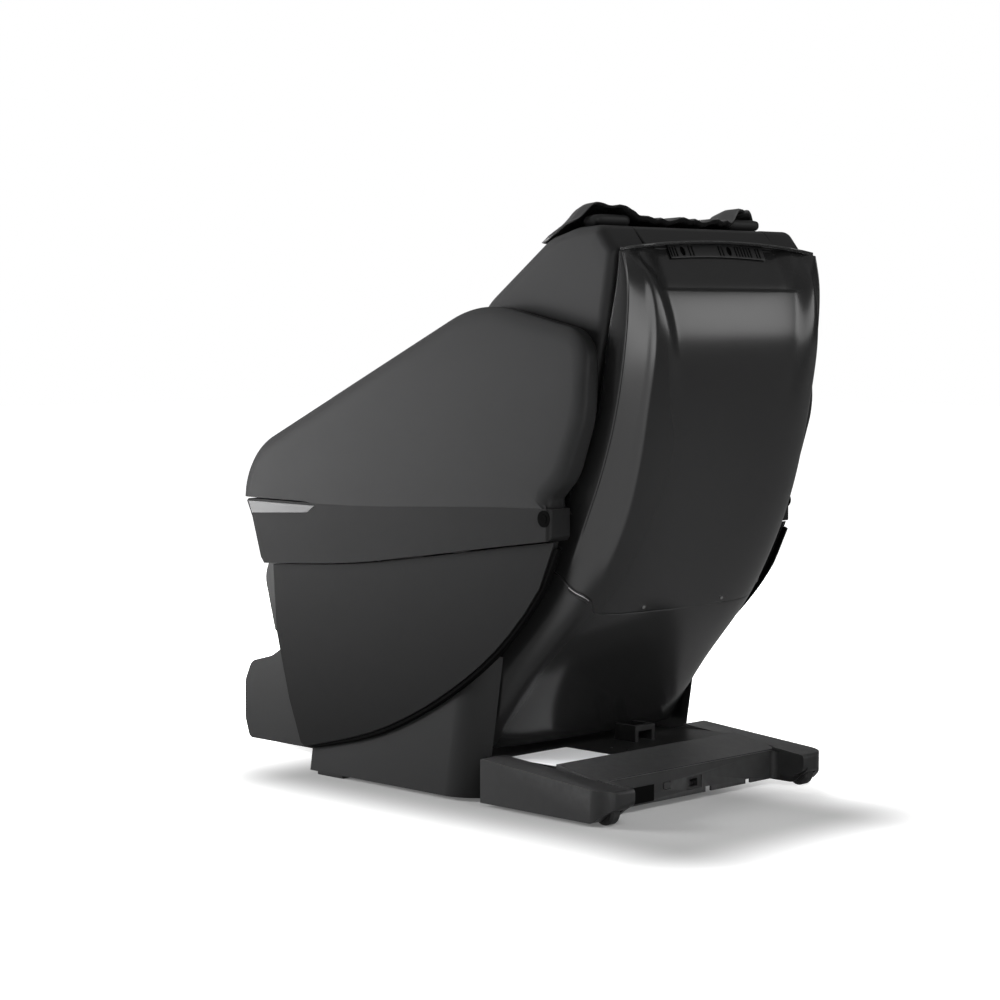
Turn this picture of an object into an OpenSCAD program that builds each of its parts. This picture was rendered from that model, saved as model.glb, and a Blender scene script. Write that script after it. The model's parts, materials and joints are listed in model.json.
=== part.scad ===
/* [Base] */
// Width of a side skirt, front to back the same
skirt_w = 29.7; // [24:0.1:34]
// Front end of the skirts, ahead of the middle of the chair
base_front = 268; // [240:1:290]
// Rear end of the rear beams, behind the middle of the chair
base_rear = 600; // [585:1:620]
// Rear edge of the deck, where the rear fascia stands
deck_rear = 515; // [500:1:530]
// Height of the tray floor under the backrest
tray_h = 90; // [88:0.5:92]
// Height of the deck's step above the tray floor
deck_step = 5; // [3:0.5:8]
// Fall of the deck towards its rear edge
deck_fall = 21; // [16:0.5:26]
// Thickness of the deck moulding
deck_t = 5; // [3:0.5:6]
// Gap between the skirts and the floor
floor_gap = 7; // [5:0.5:10]
// Height of the frame tubes
rail_h = 48; // [40:1:52]
// Width of the frame tubes
rail_w = 30; // [24:1:34]
// Diameter of the caster wheels
wheel_d = 52; // [46:1:54]
// Width of the caster wheels
wheel_w = 26; // [20:1:30]
// Diameter of the caster axles
axle_d = 8; // [6:0.5:10]
// Place of the caster axles, behind the middle of the chair
wheel_y = 562; // [550:1:570]
// Distance of a caster wheel's middle from the side of the base
wheel_inset = 43; // [38:1:48]

/* [Seat] */
// Thickness of the steel side plates
plate_t = 6; // [4:0.5:8]
// Free space between the backrest and the side plates
back_gap = 9; // [6:0.5:12]
// Width of the seat cushion
seat_w = 464; // [440:1:468]
// Height of the seat pan's top
seat_h = 410; // [406:1:412]
// Height of the seat cushion
cushion_h = 56; // [40:1:62]
// Front end of the seat cushion, ahead of the middle of the chair
seat_front = 318; // [300:1:322]
// Rear end of the seat cushion, behind the middle of the chair
seat_rear = 118; // [100:1:119]
// Thickness of the lower side panels
panel_t = 12.7; // [8:0.1:14]
// Width of the arm bands, side plate to outside
band_w = 57; // [50:1:64]
// Height of the seam between arm band and arm shell at the front
arm_h = 588; // [570:1:600]
// Rise of that seam towards the rear
arm_rise = 24; // [10:1:30]
// Width of the arm shells at their foot
arm_w = 62; // [54:1:68]
// Lean of the arm shells towards the sitter at their top
arm_lean = 22; // [0:1:30]
// Width of the padded forearm rests
arm_pad_w = 62; // [50:1:64]

/* [Backrest] */
// Width of the back covers
back_w = 598; // [580:1:604]
// Wall of the back covers
cover_t = 3; // [2:0.25:4]
// Lean of the backrest from upright
back_lean = 19; // [17:0.5:20]
// Diameter of the fixed recline tube
pivot_d = 26; // [20:1:30]
// Running clearance of tubes and shafts in their bores
run_gap = 0.05; // [0.01:0.01:0.1]
// Width of the backrest frame
frame_w = 400; // [380:1:402]
// Width of the back cushion
back_pad_w = 398; // [370:1:400]
// Thickness of the back cushion
back_pad_t = 58; // [40:1:60]
// Width of the vent strip
vent_w = 288; // [240:1:300]
// Spacing of the lower cover screws
screw_span = 240; // [200:1:260]
// Height of the seam between the two back covers
seam_h = 392; // [380:1:400]
// Travel of the massage carriage
lift_travel = 360; // [300:5:380]

/* [Legrest] */
// Width of the leg unit
leg_w = 410; // [396:1:424]
// Wall of the leg unit
leg_t = 20; // [14:1:24]
// Diameter of the fixed leg tube
leg_tube_d = 20; // [16:1:22]
// Gap between the foot unit and the calf unit
foot_gap = 6; // [4:0.5:10]
// Width of the foot unit
foot_w = 412; // [396:1:428]

/* [Controller] */
// Width of the controller
pad_w = 92; // [80:1:100]
// Height of the controller
pad_h = 130; // [120:1:136]
// Thickness of the controller
pad_t = 14; // [12:0.5:16]

/* [Hidden] */

seat_gap = 0.3;                    // between pieces that rest on each other
seam = 1.5;                        // between trim pieces that show a joint line
press = 0;                         // between a pressed pin and its hole

recline_y = 155;                   // recline pivot
recline_z = 400;
leg_y = -340;                      // legrest pivot
leg_z = 395;

half_back = back_w / 2;
plate_in = half_back + back_gap;   // inner face of a side plate
plate_out = plate_in + plate_t;
skirt_in = plate_out + seat_gap;
half_base = skirt_in + skirt_w;
panel_in = half_base + seat_gap;
panel_out = panel_in + panel_t;
band_in = plate_out + seat_gap;
band_out = band_in + band_w;
arm_in = plate_in - 2;             // inner face of an arm shell
wing_in = frame_w / 2 + seat_gap;
wing_out = half_back - 3;
sweep_drop = 6;                    // how far the deck lies lower where the backrest swings past
floor_z = tray_h - sweep_drop;
rail_top = floor_z - deck_t - seat_gap;
rail_mid = 230;                    // inner side of the long rails

dark = [0.13, 0.13, 0.135];
shell_dark = [0.17, 0.17, 0.18];
gloss_dark = [0.10, 0.10, 0.11];
steel = [0.55, 0.56, 0.58];

// ---- curves and solids from rings of points ----

function clamp01(t) = max(0, min(1, t));
function smooth(t) = clamp01(t) * clamp01(t) * (3 - 2 * clamp01(t));
function mix(a, b, t) = a + (b - a) * t;

// Smooth curve through points [place, value], read at one place
function slope_at(p, i) =
    i == 0 ? (p[1][1] - p[0][1]) / (p[1][0] - p[0][0])
    : i == len(p) - 1 ? (p[i][1] - p[i - 1][1]) / (p[i][0] - p[i - 1][0])
    : (p[i + 1][1] - p[i - 1][1]) / (p[i + 1][0] - p[i - 1][0]);
function span_of(p, s, i = 0) = i >= len(p) - 2 || s < p[i + 1][0] ? i : span_of(p, s, i + 1);
function hermite(p, i, w, t) =
    (2 * t * t * t - 3 * t * t + 1) * p[i][1] + (t * t * t - 2 * t * t + t) * w * slope_at(p, i)
    + (3 * t * t - 2 * t * t * t) * p[i + 1][1] + (t * t * t - t * t) * w * slope_at(p, i + 1);
function curve(p, s) =
    let(i = span_of(p, s), w = p[i + 1][0] - p[i][0])
    s < p[0][0] ? p[0][1] + (s - p[0][0]) * slope_at(p, 0)
    : s > p[len(p) - 1][0] ? p[len(p) - 1][1] + (s - p[len(p) - 1][0]) * slope_at(p, len(p) - 1)
    : hermite(p, i, w, (s - p[i][0]) / w);

// Outline through corners [a, b, radius], each corner an arc
function unit(v) = v / norm(v);
function turn_of(u, v) = atan2(u[0] * v[1] - u[1] * v[0], u[0] * v[0] + u[1] * v[1]);
function corner(p, i, n) =
    let(c = p[i], a = p[(i + len(p) - 1) % len(p)], b = p[(i + 1) % len(p)],
        u = unit([c[0] - a[0], c[1] - a[1]]), v = unit([b[0] - c[0], b[1] - c[1]]),
        turn = turn_of(u, v), r = c[2], back = r * tan(abs(turn) / 2), s = turn < 0 ? -1 : 1,
        m = [c[0], c[1]] - u * back + s * r * [-u[1], u[0]],
        from = atan2(-s * u[0], s * u[1]))
    r == 0 ? [[c[0], c[1]]] : [for (k = [0 : n]) m + r * [cos(from + turn * k / n), sin(from + turn * k / n)]];
function rounded(p, n = 6) = [for (i = [0 : len(p) - 1]) each corner(p, i, n)];

// The same outline run counter-clockwise, and drawn in by a distance, wide times as far along its first axis
function area(o, i = 0) = i == len(o) ? 0
    : o[i][0] * o[(i + 1) % len(o)][1] - o[(i + 1) % len(o)][0] * o[i][1] + area(o, i + 1);
function turned(o) = area(o) > 0 ? o : [for (k = [len(o) - 1 : -1 : 0]) o[k]];
function drawn_in(o, d, wide = 1) =
    [for (i = [0 : len(o) - 1])
        let(a = o[(i + len(o) - 1) % len(o)], b = o[(i + 1) % len(o)], t = unit(b - a))
        o[i] + d * [-t[1] * wide, t[0]]];

// The same outline drawn in towards its middle, by a distance at its sides
function gathered(o, middle, half, d) =
    [for (p = o) [for (i = [0, 1]) middle[i] + (p[i] - middle[i]) * (1 - d / half[i])]];

// Closed solid from rings with the same number of points, each ring a list of 3D points
module skin(rings) {
    n = len(rings[0]);
    m = len(rings);
    polyhedron(
        points = [for (r = rings) each r],
        faces = concat(
            [[for (i = [0 : n - 1]) i]],
            [for (k = [0 : m - 2], i = [0 : n - 1])
                [k * n + i, (k + 1) * n + i, (k + 1) * n + (i + 1) % n]],
            [for (k = [0 : m - 2], i = [0 : n - 1])
                [k * n + i, (k + 1) * n + (i + 1) % n, k * n + (i + 1) % n]],
            [[for (i = [n - 1 : -1 : 0]) (m - 1) * n + i]]),
        convexity = 6);
}

// Padded panel: an outline in the side view between x0 and x1, edges rounded by r, faces crowned;
// the first foot points of the outline stay on the line foot_z
module side_pad(outline, x0, x1, r, crown = 0, lean = 0, lean_z = [0, 1], wide = 1, foot = 0, foot_z = 0) {
    o = foot > 0 ? outline : turned(outline);
    function place(x, y, z) = [x - lean * (x - x0) / (x1 - x0) * (z - lean_z[0]) / (lean_z[1] - lean_z[0]), y, z];
    steps = [for (k = [0 : 4]) 90 * k / 4];
    low = [for (a = steps) [x0 + crown + r * (1 - sin(a)), r * (1 - cos(a))]];
    high = [for (a = steps) [x1 - crown - r * (1 - sin(a)), r * (1 - cos(a))]];
    ends = concat(
        crown > 0 ? [[x0, 3 * r + 2 * crown], [x0 + crown * 0.4, 1.8 * r]] : [],
        [for (k = [4 : -1 : 0]) low[k]], [for (k = [0 : 4]) high[k]],
        crown > 0 ? [[x1 - crown * 0.4, 1.8 * r], [x1, 3 * r + 2 * crown]] : []);
    skin([for (e = ends) let(q = drawn_in(o, e[1], wide), in = wide * e[1])
        [for (i = [0 : len(q) - 1])
            let(y = i < foot ? min(max(o[i][0], o[0][0] + in), o[foot - 1][0] - in) : q[i][0])
            place(e[0], y, i < foot ? foot_z(y) : q[i][1])]]);
}

// Side view outline pushed out along X
module side_slab(o, x0, x1) {
    translate([x0, 0, 0]) rotate([90, 0, 90]) linear_extrude(x1 - x0) polygon(o);
}

module box(x, y, z) {
    translate([x[0], y[0], z[0]]) cube([x[1] - x[0], y[1] - y[0], z[1] - z[0]]);
}

module x_rod(d, x0, x1, y, z) {
    translate([x0, y, z]) rotate([0, 90, 0]) cylinder(d = d, h = x1 - x0, $fn = 48);
}

module y_rod(d, y0, y1, x, z) {
    translate([x, y0, z]) rotate([-90, 0, 0]) cylinder(d = d, h = y1 - y0, $fn = 48);
}

module on_side(left) {
    if (left) children();
    else mirror([1, 0, 0]) children();
}

module both_sides() {
    children();
    mirror([1, 0, 0]) children();
}

// Frame of the backrest: origin on the recline pivot, Z up along the back, Y rearwards
module in_back() {
    translate([0, recline_y, recline_z]) rotate([-back_lean, 0, 0]) children();
}

// ---- base ----

tube_t = 2;
frame_front = -base_front + 22;
frame_rear = 455;

module rail(x0, x1, y0, y1) {
    difference() {
        box([x0, x1], [y0, y1], [rail_top - rail_h, rail_top]);
        if (y1 - y0 > x1 - x0)
            box([x0 + tube_t, x1 - tube_t], [y0 - 1, y1 + 1],
                [rail_top - rail_h + tube_t, rail_top - tube_t]);
        else
            box([x0 - 1, x1 + 1], [y0 + tube_t, y1 - tube_t],
                [rail_top - rail_h + tube_t, rail_top - tube_t]);
    }
}

module base_frame() {
    color(steel) {
        both_sides() rail(rail_mid, rail_mid + rail_w, frame_front, frame_rear);
        for (y = [frame_front, -rail_w / 2, frame_rear - rail_w])
            rail(-rail_mid, rail_mid, y, y + rail_w);
    }
}

deck_half = half_base - 68;        // half width of the deck between the beams
step_y = 402;                      // place of the deck's step
tray_y = 256;                      // front end of the tray

module deck() {
    high = tray_h + deck_step;
    low = tray_h + deck_step - deck_fall;
    under = rail_top + seat_gap;
    o = [[frame_front, under], [frame_rear + seat_gap, under], [frame_rear + seat_gap, under - 18],
         [deck_rear, under - 18], [deck_rear, low], [step_y, high], [step_y, tray_h], [tray_y, tray_h],
         [tray_y, floor_z], [frame_front, floor_z]];
    color(dark) difference() {
        side_slab(o, -deck_half, deck_half);
        for (y = [329, 366]) translate([30, y, rail_top - 1]) cylinder(d = 9, h = 16, $fn = 24);
    }
    color(gloss_dark) for (x = [-112, -60]) box([x, x + 10], [262, 320], [tray_h, tray_h + 34]);
    color(gloss_dark) box([-103, -59], [308, 320], [tray_h + 22, tray_h + 34]);
}

arc_points = [for (p = [[-270, 0], [-61, 0.104], [92, 0.226], [239, 0.391], [338, 0.541], [430, 0.738], [474, 0.902]])
    [p[0], 58 + (arm_h - 58) * p[1]]];
panel_arc = [for (k = [0 : 18]) let(y = mix(-270, 474, k / 18)) [y, curve(arc_points, y)]];
skirt_cover = 26;                  // how far the skirt reaches up behind the panel
tower_foot = 97;                   // height where the towers stand on the rear beams
tower_top = 352;
wrap_in = half_back + 2;           // the towers wrap in to here behind the side plates
corner_r = 45;                     // rear corners of the base in plan

// Plan of a skirt at floor height; its rear corner is a long round, and leans back with the height
tower_plan = concat([[wrap_in - 8, -base_front], [half_base, -base_front]],
    [for (a = [0 : 7.5 : 60]) [half_base - 100 + 100 * cos(a), 148 + 100 * sin(a)]], [[wrap_in - 8, 236]]);
function leaned(z) = 39 / 240 * z;

module skirt(left) {
    upper = [for (k = [0 : 10]) let(y = mix(-base_front, 335, k / 10)) [y, curve(arc_points, y) + skirt_cover]];
    o = concat([[-base_front, floor_gap], [400, floor_gap], [400, tower_top]],
               [for (k = [10 : -1 : 0]) upper[k]]);
    foot = [[216, floor_gap], [400, floor_gap], [400, 300], [252, 300]];
    color(dark) on_side(left) intersection() {
        union() {
            side_slab(o, skirt_in, half_base);
            side_slab(foot, wrap_in, skirt_in + 1);
        }
        skin([for (z = [0, 400]) [for (p = tower_plan) [p[0], p[1] + leaned(z), z]]]);
        union() {
            box([0, half_base + 1], [-base_front - 1, 400], [tower_foot, 400]);
            box([0, half_base + 1], [-base_front - 1, beam_front - 0.5], [0, tower_foot + 1]);
        }
    }
}

beam_front = 255.5;
beam_high = tower_foot - seat_gap;                   // top of a rear beam at its front end
beam_low = 72;                     // top of a rear beam at its rear end
wheel_pocket = 3;                  // room round a caster wheel
wheel_x = half_base - wheel_inset;
house_in = deck_half - 14;         // inner side of a caster housing

module rear_beam(left) {
    o = rounded([[beam_front, floor_gap, 0], [base_rear - 40, floor_gap, 20], [base_rear, 38, 16],
                 [base_rear, beam_low - 2, 9], [beam_front, beam_high, 4]], 4);
    h = rounded([[deck_rear + 0.5, 22, 0], [base_rear - 30, 22, 12], [base_rear, 40, 14],
                 [base_rear, beam_low - 2, 9], [deck_rear + 0.5, 79, 0]], 4);
    color(dark) on_side(left) difference() {
        union() {
            intersection() {
                side_slab(o, deck_half + seat_gap, half_base);
                linear_extrude(200) polygon(rounded([[0, 0, 0], [half_base, 0, 0],
                    [half_base, base_rear, corner_r], [0, base_rear, 0]], 8));
            }
            side_slab(h, house_in, deck_half + seat_gap + 1);
        }
        x_rod(wheel_d + 2 * wheel_pocket, wheel_x - wheel_w / 2 - wheel_pocket,
              wheel_x + wheel_w / 2 + wheel_pocket, wheel_y, wheel_d / 2);
        box([wheel_x - wheel_w / 2 - wheel_pocket, wheel_x + wheel_w / 2 + wheel_pocket],
            [wheel_y, wheel_y + wheel_d], [-1, wheel_d / 2]);
        x_rod(axle_d, wheel_x - wheel_w / 2 - 12, wheel_x + wheel_w / 2 + 12, wheel_y, wheel_d / 2);
    }
}

module caster_wheel(left) {
    color([0.08, 0.08, 0.08]) on_side(left)
        translate([wheel_x, wheel_y, wheel_d / 2]) rotate([0, 90, 0])
            rotate_extrude($fn = 48) polygon([
                [axle_d / 2 + run_gap, -wheel_w / 2], [wheel_d / 2 - 4, -wheel_w / 2],
                [wheel_d / 2, -wheel_w / 2 + 4], [wheel_d / 2, wheel_w / 2 - 4],
                [wheel_d / 2 - 4, wheel_w / 2], [axle_d / 2 + run_gap, wheel_w / 2]]);
}

module caster_axles() {
    color(steel) both_sides()
        x_rod(axle_d - press, wheel_x - wheel_w / 2 - 11, wheel_x + wheel_w / 2 + 11, wheel_y, wheel_d / 2);
}

fascia_t = 5;
fascia_y = deck_rear + seat_gap;
rocker_x = 78;
rocker_z = 42;
rocker_y = fascia_y + fascia_t / 2;
rocker_pin = 3;
inlet_x = -6;
inlet_z = 36;

module rear_fascia() {
    color(dark) difference() {
        box([-house_in + seam, house_in - seam], [fascia_y, fascia_y + fascia_t], [13, 72.5]);
        box([rocker_x - 11, rocker_x + 11], [fascia_y - 1, fascia_y + fascia_t + 1], [rocker_z - 8, rocker_z + 8]);
        box([inlet_x - 24, inlet_x + 24], [fascia_y - 1, fascia_y + fascia_t + 1], [inlet_z - 12, inlet_z + 14]);
        box([-60, -42], [fascia_y - 1, fascia_y + fascia_t + 1], [12, 24]);
        box([-186, -170], [fascia_y - 1, fascia_y + fascia_t + 1], [12, 22]);
        x_rod(rocker_pin + 2 * run_gap, rocker_x - 13.2, rocker_x + 13.2, rocker_y, rocker_z);
    }
}

module service_plate() {
    color([0.74, 0.74, 0.75]) box([103, 274], [265, 398], [tray_h + seat_gap, tray_h + 1.8]);
}

module blank_plate() {
    color([0.03, 0.03, 0.03])
        box([118, 216], [fascia_y + fascia_t + seat_gap, fascia_y + fascia_t + 1.5], [17, 50]);
}

module power_inlet() {
    y0 = fascia_y - 14;
    y1 = fascia_y + fascia_t - 2;
    color([0.05, 0.05, 0.05]) difference() {
        box([inlet_x - 24 + seat_gap, inlet_x + 24 - seat_gap], [y0, y1],
            [inlet_z - 12 + seat_gap, inlet_z + 14 - seat_gap]);
        box([inlet_x - 12, inlet_x + 12], [y0 + 3, y1 + 1], [inlet_z - 7, inlet_z + 9]);
    }
    color(steel) for (x = [-7, 0, 7])
        box([inlet_x + x - 1, inlet_x + x + 1], [y0 + 3, y1 - 2], [inlet_z - 2, inlet_z + 3]);
}

module power_rocker() {
    color([0.05, 0.05, 0.05]) translate([rocker_x, rocker_y, rocker_z]) {
        rotate([8, 0, 0]) box([-10, 10], [-3, 3.6], [-6.4, 6.4]);
        x_rod(rocker_pin, -12.9, 12.9, 0, 0);
    }
}

module front_feet() {
    color([0.08, 0.08, 0.08]) both_sides() {
        box([skirt_in + 1, half_base - 2], [-245, -165], [0, floor_gap - seat_gap]);
        translate([rail_mid + rail_w / 2, frame_front + 40, 0])
            cylinder(d = 40, h = rail_top - rail_h - seat_gap, $fn = 48);
    }
    color([0.08, 0.08, 0.08]) cylinder(d = 40, h = rail_top - rail_h - seat_gap, $fn = 48);
}

// ---- seat frame ----

pan_t = 6;
pan_z = seat_h - pan_t;

module seat_frame() {
    on_deck = floor_z + seat_gap;
    plate = rounded([[-250, on_deck, 0], [30, on_deck, 0], [120, 180, 60], [196, 330, 60],
                     [214, 436, 20], [120, 470, 20], [-300, 470, 30], [-372, 425, 24], [-372, 365, 40]], 5);
    color(steel) {
        both_sides() side_slab(plate, plate_in, plate_out);
        x_rod(pivot_d, -plate_in - 1, plate_in + 1, recline_y, recline_z);
        x_rod(leg_tube_d, -plate_in - 1, plate_in + 1, leg_y, leg_z);
        difference() {
            box([-plate_in - 1, plate_in + 1], [leg_y + 24, recline_y - 44], [pan_z, seat_h]);
            box([-60, 20], [recline_y - 140, recline_y], [pan_z - 1, seat_h + 1]);
        }
        both_sides() box([plate_in - 24, plate_in + 1], [-300, 60], [pan_z - 24, pan_z + 1]);
        both_sides() for (y = [-200, -40]) box([rail_mid, plate_in + 1], [y, y + 50], [on_deck, on_deck + 6]);
    }
}

cushion_front = -seat_front;
module seat_cushion() {
    o = rounded([[-seat_w / 2, cushion_front, 34], [seat_w / 2, cushion_front, 34],
                 [seat_w / 2, seat_rear, 40], [-seat_w / 2, seat_rear, 40]], 6);
    levels = [[0, 7], [0.1, 2], [0.32, 0], [0.55, 2], [0.74, 10], [0.88, 32], [0.96, 70], [1, 120]];
    half = [seat_w / 2, (seat_rear - cushion_front) / 2];
    color(shell_dark) skin([for (l = levels) [for (p = gathered(o, [0, seat_rear - half[1]], half, l[1]))
        [p[0], p[1], seat_h + seat_gap + cushion_h * l[0]]]]);
}

module control_box() {
    color(gloss_dark) box([-rail_mid + 2, -rail_mid + 142], [-236, -70], [floor_z + seat_gap, 205]);
    color(steel) for (x = [10, 126]) box([x - rail_mid, x + 8 - rail_mid], [-71, -60], [floor_z + seat_gap, 160]);
}

module air_pump() {
    color(gloss_dark) box([rail_mid - 84, rail_mid - 2], [-246, -100], [floor_z + seat_gap, 150]);
    color(steel) for (y = [-206, -140]) translate([rail_mid - 43, y, 149]) cylinder(d = 52, h = 45, $fn = 48);
}

// ---- drives ----

recline_max = 50;
lever_l = 150;
recline_x = -20;
pin_d = 12;
function lever_at(l, turn) = [l * sin(turn), -l * cos(turn)];
recline_rest = lever_at(lever_l, recline_max / 2);
rod_z = recline_z - lever_l * (1 + cos(recline_max / 2)) / 2;
rod_d = 20;
drive_tube_d = 44;

leg_max = 85;
leg_lever_l = 90;
leg_x = 120;
leg_rest = lever_at(leg_lever_l, leg_max / 2);
leg_rod_z = leg_z - leg_lever_l * (1 + cos(leg_max / 2)) / 2;

// Tube with a bore for the rod, its gearbox and its foot on the deck
module drive(x, z, y0, y1, foot_y, motor_y) {
    color([0.2, 0.2, 0.21]) difference() {
        union() {
            y_rod(drive_tube_d, y0, y1, x, z);
            box([x - 12, x + 12], [foot_y, foot_y + 30], [floor_z + seat_gap, z]);
            y_rod(50, motor_y, motor_y + 96, x, z - 44);
            box([x - 22, x + 22], [motor_y - 16, motor_y + 10], [z - 62, z]);
        }
        y_rod(rod_d + 2 * run_gap, y0 - 40, y1 + 1, x, z);
    }
}

// Rod with a slotted eye; the lever's pin stands in the slot, with the slack that its arc takes up
module drive_rod(x, z, y0, y1, slot_h, slack) {
    eye = 34;
    color(steel) {
        y_rod(rod_d, y0, y1 - eye / 2 - 3, x, z);
        difference() {
            box([x - 9, x + 9], [y1 - eye / 2 - 4, y1 + eye / 2 + slack], [z - slot_h / 2 - 9, z + slot_h / 2 + 9]);
            box([x - 10, x + 10], [y1 - pin_d / 2 - slack, y1 + pin_d / 2 + slack], [z - slot_h / 2, z + slot_h / 2]);
        }
    }
}

recline_pin_y = recline_y + recline_rest[0];
leg_pin_y = leg_y + leg_rest[0];
recline_slot = lever_l * (1 - cos(recline_max / 2)) + pin_d + 5;
leg_slot = leg_lever_l * (1 - cos(leg_max / 2)) + pin_d + 5;

module recline_motor() { drive(recline_x, rod_z, -200, 50, -176, -150); }
module recline_rod() { drive_rod(recline_x, rod_z, -60, recline_pin_y, recline_slot, 0.9); }
module leg_motor() { drive(leg_x, leg_rod_z, -190, -40, -146, -140); }
module leg_rod() {
    mirror([0, 1, 0]) drive_rod(leg_x, leg_rod_z, 45, -leg_pin_y, leg_slot, 2.6);
}

// ---- side panels and arms ----

band_seam = [for (p = [[-385, 139], [-119, 121], [111, 91], [326, 59], [492, 36]]) [p[0], arm_h - p[1]]];
function seam_line(drop) = [for (k = [0 : 12]) let(y = mix(-385, 468, k / 12)) [y, curve(band_seam, y) - drop]];

module side_panel(left) {
    top = seam_line(seam);
    o = rounded(concat([[-372, arm_h - 141, 0], [-362, 300, 60], [-322, 160, 60], [-284, 66, 0]],
                       [for (p = panel_arc) [p[0], p[1], 0]],
                       [for (k = [11 : -1 : 1]) [top[k][0], top[k][1], 0]]), 4);
    color(dark) on_side(left) side_slab(o, panel_in, panel_out);
}

band_front = -442;
band_rear = 474;
function arm_seam(y) = arm_h + arm_rise * smooth((y + 200) / 700);
module arm_band(left) {
    low = seam_line(0);
    top = [for (k = [0 : 8]) let(y = mix(band_rear - 10, band_front + 6, k / 8)) [y, arm_seam(y) - seat_gap]];
    o = concat([for (p = low) p], [[band_rear, arm_h - 32], [band_rear, arm_seam(band_rear) - seat_gap]], top,
               [[band_front, arm_h - 5], [-424, arm_h - 40], [-396, arm_h - 126]]);
    color(dark) on_side(left) difference() {
        intersection() {
            side_slab(o, band_in, band_out);
            linear_extrude(700) polygon(rounded([[0, -600, 0], [band_out, -600, 0],
                [band_out, band_rear, 12], [0, band_rear, 0]], 6));
        }
        x_rod(26, band_out - 5, band_out + 1, cap_y, cap_z);
        side_slab(trim_outline, band_out - 3, band_out + 1);
    }
}

arm_front = -464;
module arm_shell(left) {
    foot = [for (y = concat(arm_front, [for (k = [0 : 9]) mix(-200, 464, k / 9)])) [y, arm_seam(y)]];
    over = rounded([[464, arm_h + 12, 0], [466, arm_h + 42, 20], [508, arm_h + 84, 110], [549, 790, 200], [552, 950, 70],
                    [250, 1014, 270], [arm_front, arm_h + 96, 150], [arm_front, arm_h + 12, 0]], 7);
    color(shell_dark) on_side(left) side_pad(concat(foot, [for (k = [1 : len(over) - 3]) over[k]]),
        arm_in, arm_in + arm_w, 20, 0, arm_lean, [arm_h, 1000], 1.8, len(foot), function(y) arm_seam(y));
}

trim_outline = [for (p = [[-436, 5], [-424, 32], [-240, 22], [-214, 5]]) [p[0], arm_h - p[1]]];
module arm_trims() {
    color([0.62, 0.62, 0.63]) both_sides() side_slab(
        [for (p = [[-435.4, 5.4], [-423.7, 31.6], [-240.2, 21.6], [-214.8, 5.4]]) [p[0], arm_h - p[1]]], band_out - 3 + seat_gap, band_out + 1.5);
}

cap_y = 458;
cap_z = arm_h + 4;
module arm_caps() {
    color(gloss_dark) both_sides() translate([band_out - 5 + seat_gap, cap_y, cap_z]) rotate([0, 90, 0]) {
        cylinder(d = 25.4, h = 2, $fn = 48);
        cylinder(d = 14, h = 3, $fn = 48);
    }
}

module arm_pad(left) {
    o = rounded([[-400, seat_h + 66, 50], [118, seat_h + 66, 50], [126, 712, 60], [-395, 640, 60]], 6);
    color(shell_dark) on_side(left) side_pad(o, arm_in - seat_gap - arm_pad_w, arm_in - seat_gap, 12, 2);
}

// ---- controller ----

post_x = arm_in - 44;
post_y = 60;
pad_z = 760;
module controller_post() {
    color(gloss_dark) {
        translate([post_x, post_y, pad_z - 40]) cylinder(d = 16, h = 40, $fn = 48);
        box([post_x, arm_in - seat_gap], [post_y - 8, post_y + 8], [pad_z - 36, pad_z - 20]);
    }
}

module controller() {
    color([0.6, 0.6, 0.61]) translate([post_x, post_y, pad_z]) {
        translate([0, 0, seat_gap]) cylinder(d = 24, h = 26, $fn = 48);
        rotate([-14, 0, 0]) difference() {
            box([-pad_w / 2 + 8, pad_w / 2 - 8], [-pad_t, 0], [10, pad_h]);
            for (s = [-1, 1]) translate([s * 17, -pad_t - 1, 46]) rotate([-90, 0, 0]) cylinder(d = 13, h = 6, $fn = 32);
        }
    }
}

module control_button(s, c) {
    color(c) translate([post_x, post_y, pad_z]) rotate([-14, 0, 0])
        translate([s * 17, -pad_t - 1, 46]) rotate([-90, 0, 0]) cylinder(d = 12.8, h = 3, $fn = 32);
}

module power_button() { control_button(-1, [0.8, 0.8, 0.8]); }
module stop_button() { control_button(1, [0.75, 0.2, 0.15]); }

// ---- backrest ----

cover_z = 104;                     // lower end of the covers
rim_z = 1125;
crown = [[cover_z, 240], [240, 350], [405, 495], [602, 590], [830, 638], [945, 652], [1040, 636], [rim_z, 590]];
edge = [[cover_z, 150], [210, 200], [400, 305], [590, 430], [775, 522], [950, 560], [1060, 583], [rim_z, 588]];
corner_power = 4;
recess_in = 19;                    // depth of the middle panel below its side cheeks
scoop_in = 12;                     // further depth of the hand scoop under the rim
scoop_z = 1032;

// Rear face of the covers at one height, part is 0 at the side edge and 1 at the middle
function cover_x(part, inset) = (half_back - inset) * pow(cos(90 * part), 2 / corner_power);
function panel_part(x) = smooth((256 - abs(x)) / 66);
function recess(x, z) = panel_part(x) * (recess_in * smooth((z - 760) / 260) * (1 - 0.4 * smooth((z - 1080) / 50))
    + scoop_in * smooth((z - scoop_z) / 8) * (1 - smooth((z - 1085) / 40)));
function cover_y(x, part, z, inset) =
    mix(curve(edge, z), curve(crown, z) - inset, pow(sin(90 * part), 2 / corner_power)) - recess(x, z);
function rim_drop(x) = 17 * pow(x / 284, 2);
function part_of(x) = acos(pow(min(abs(x), half_back) / half_back, corner_power / 2)) / 90;
function rear_face(x, z) = cover_y(x, part_of(x), z, 0);
across = [for (k = [0 : 9]) k / 12, 0.8, 0.86, 0.92, 1];

function cover_row(z_of, inset) =
    let(half = [for (a = across) let(x = cover_x(a, inset), z = z_of(a, x)) [x, cover_y(x, a, z, inset), z]])
    concat(half, [for (k = [len(half) - 2 : -1 : 0]) [-half[k][0], half[k][1], half[k][2]]]);

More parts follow.
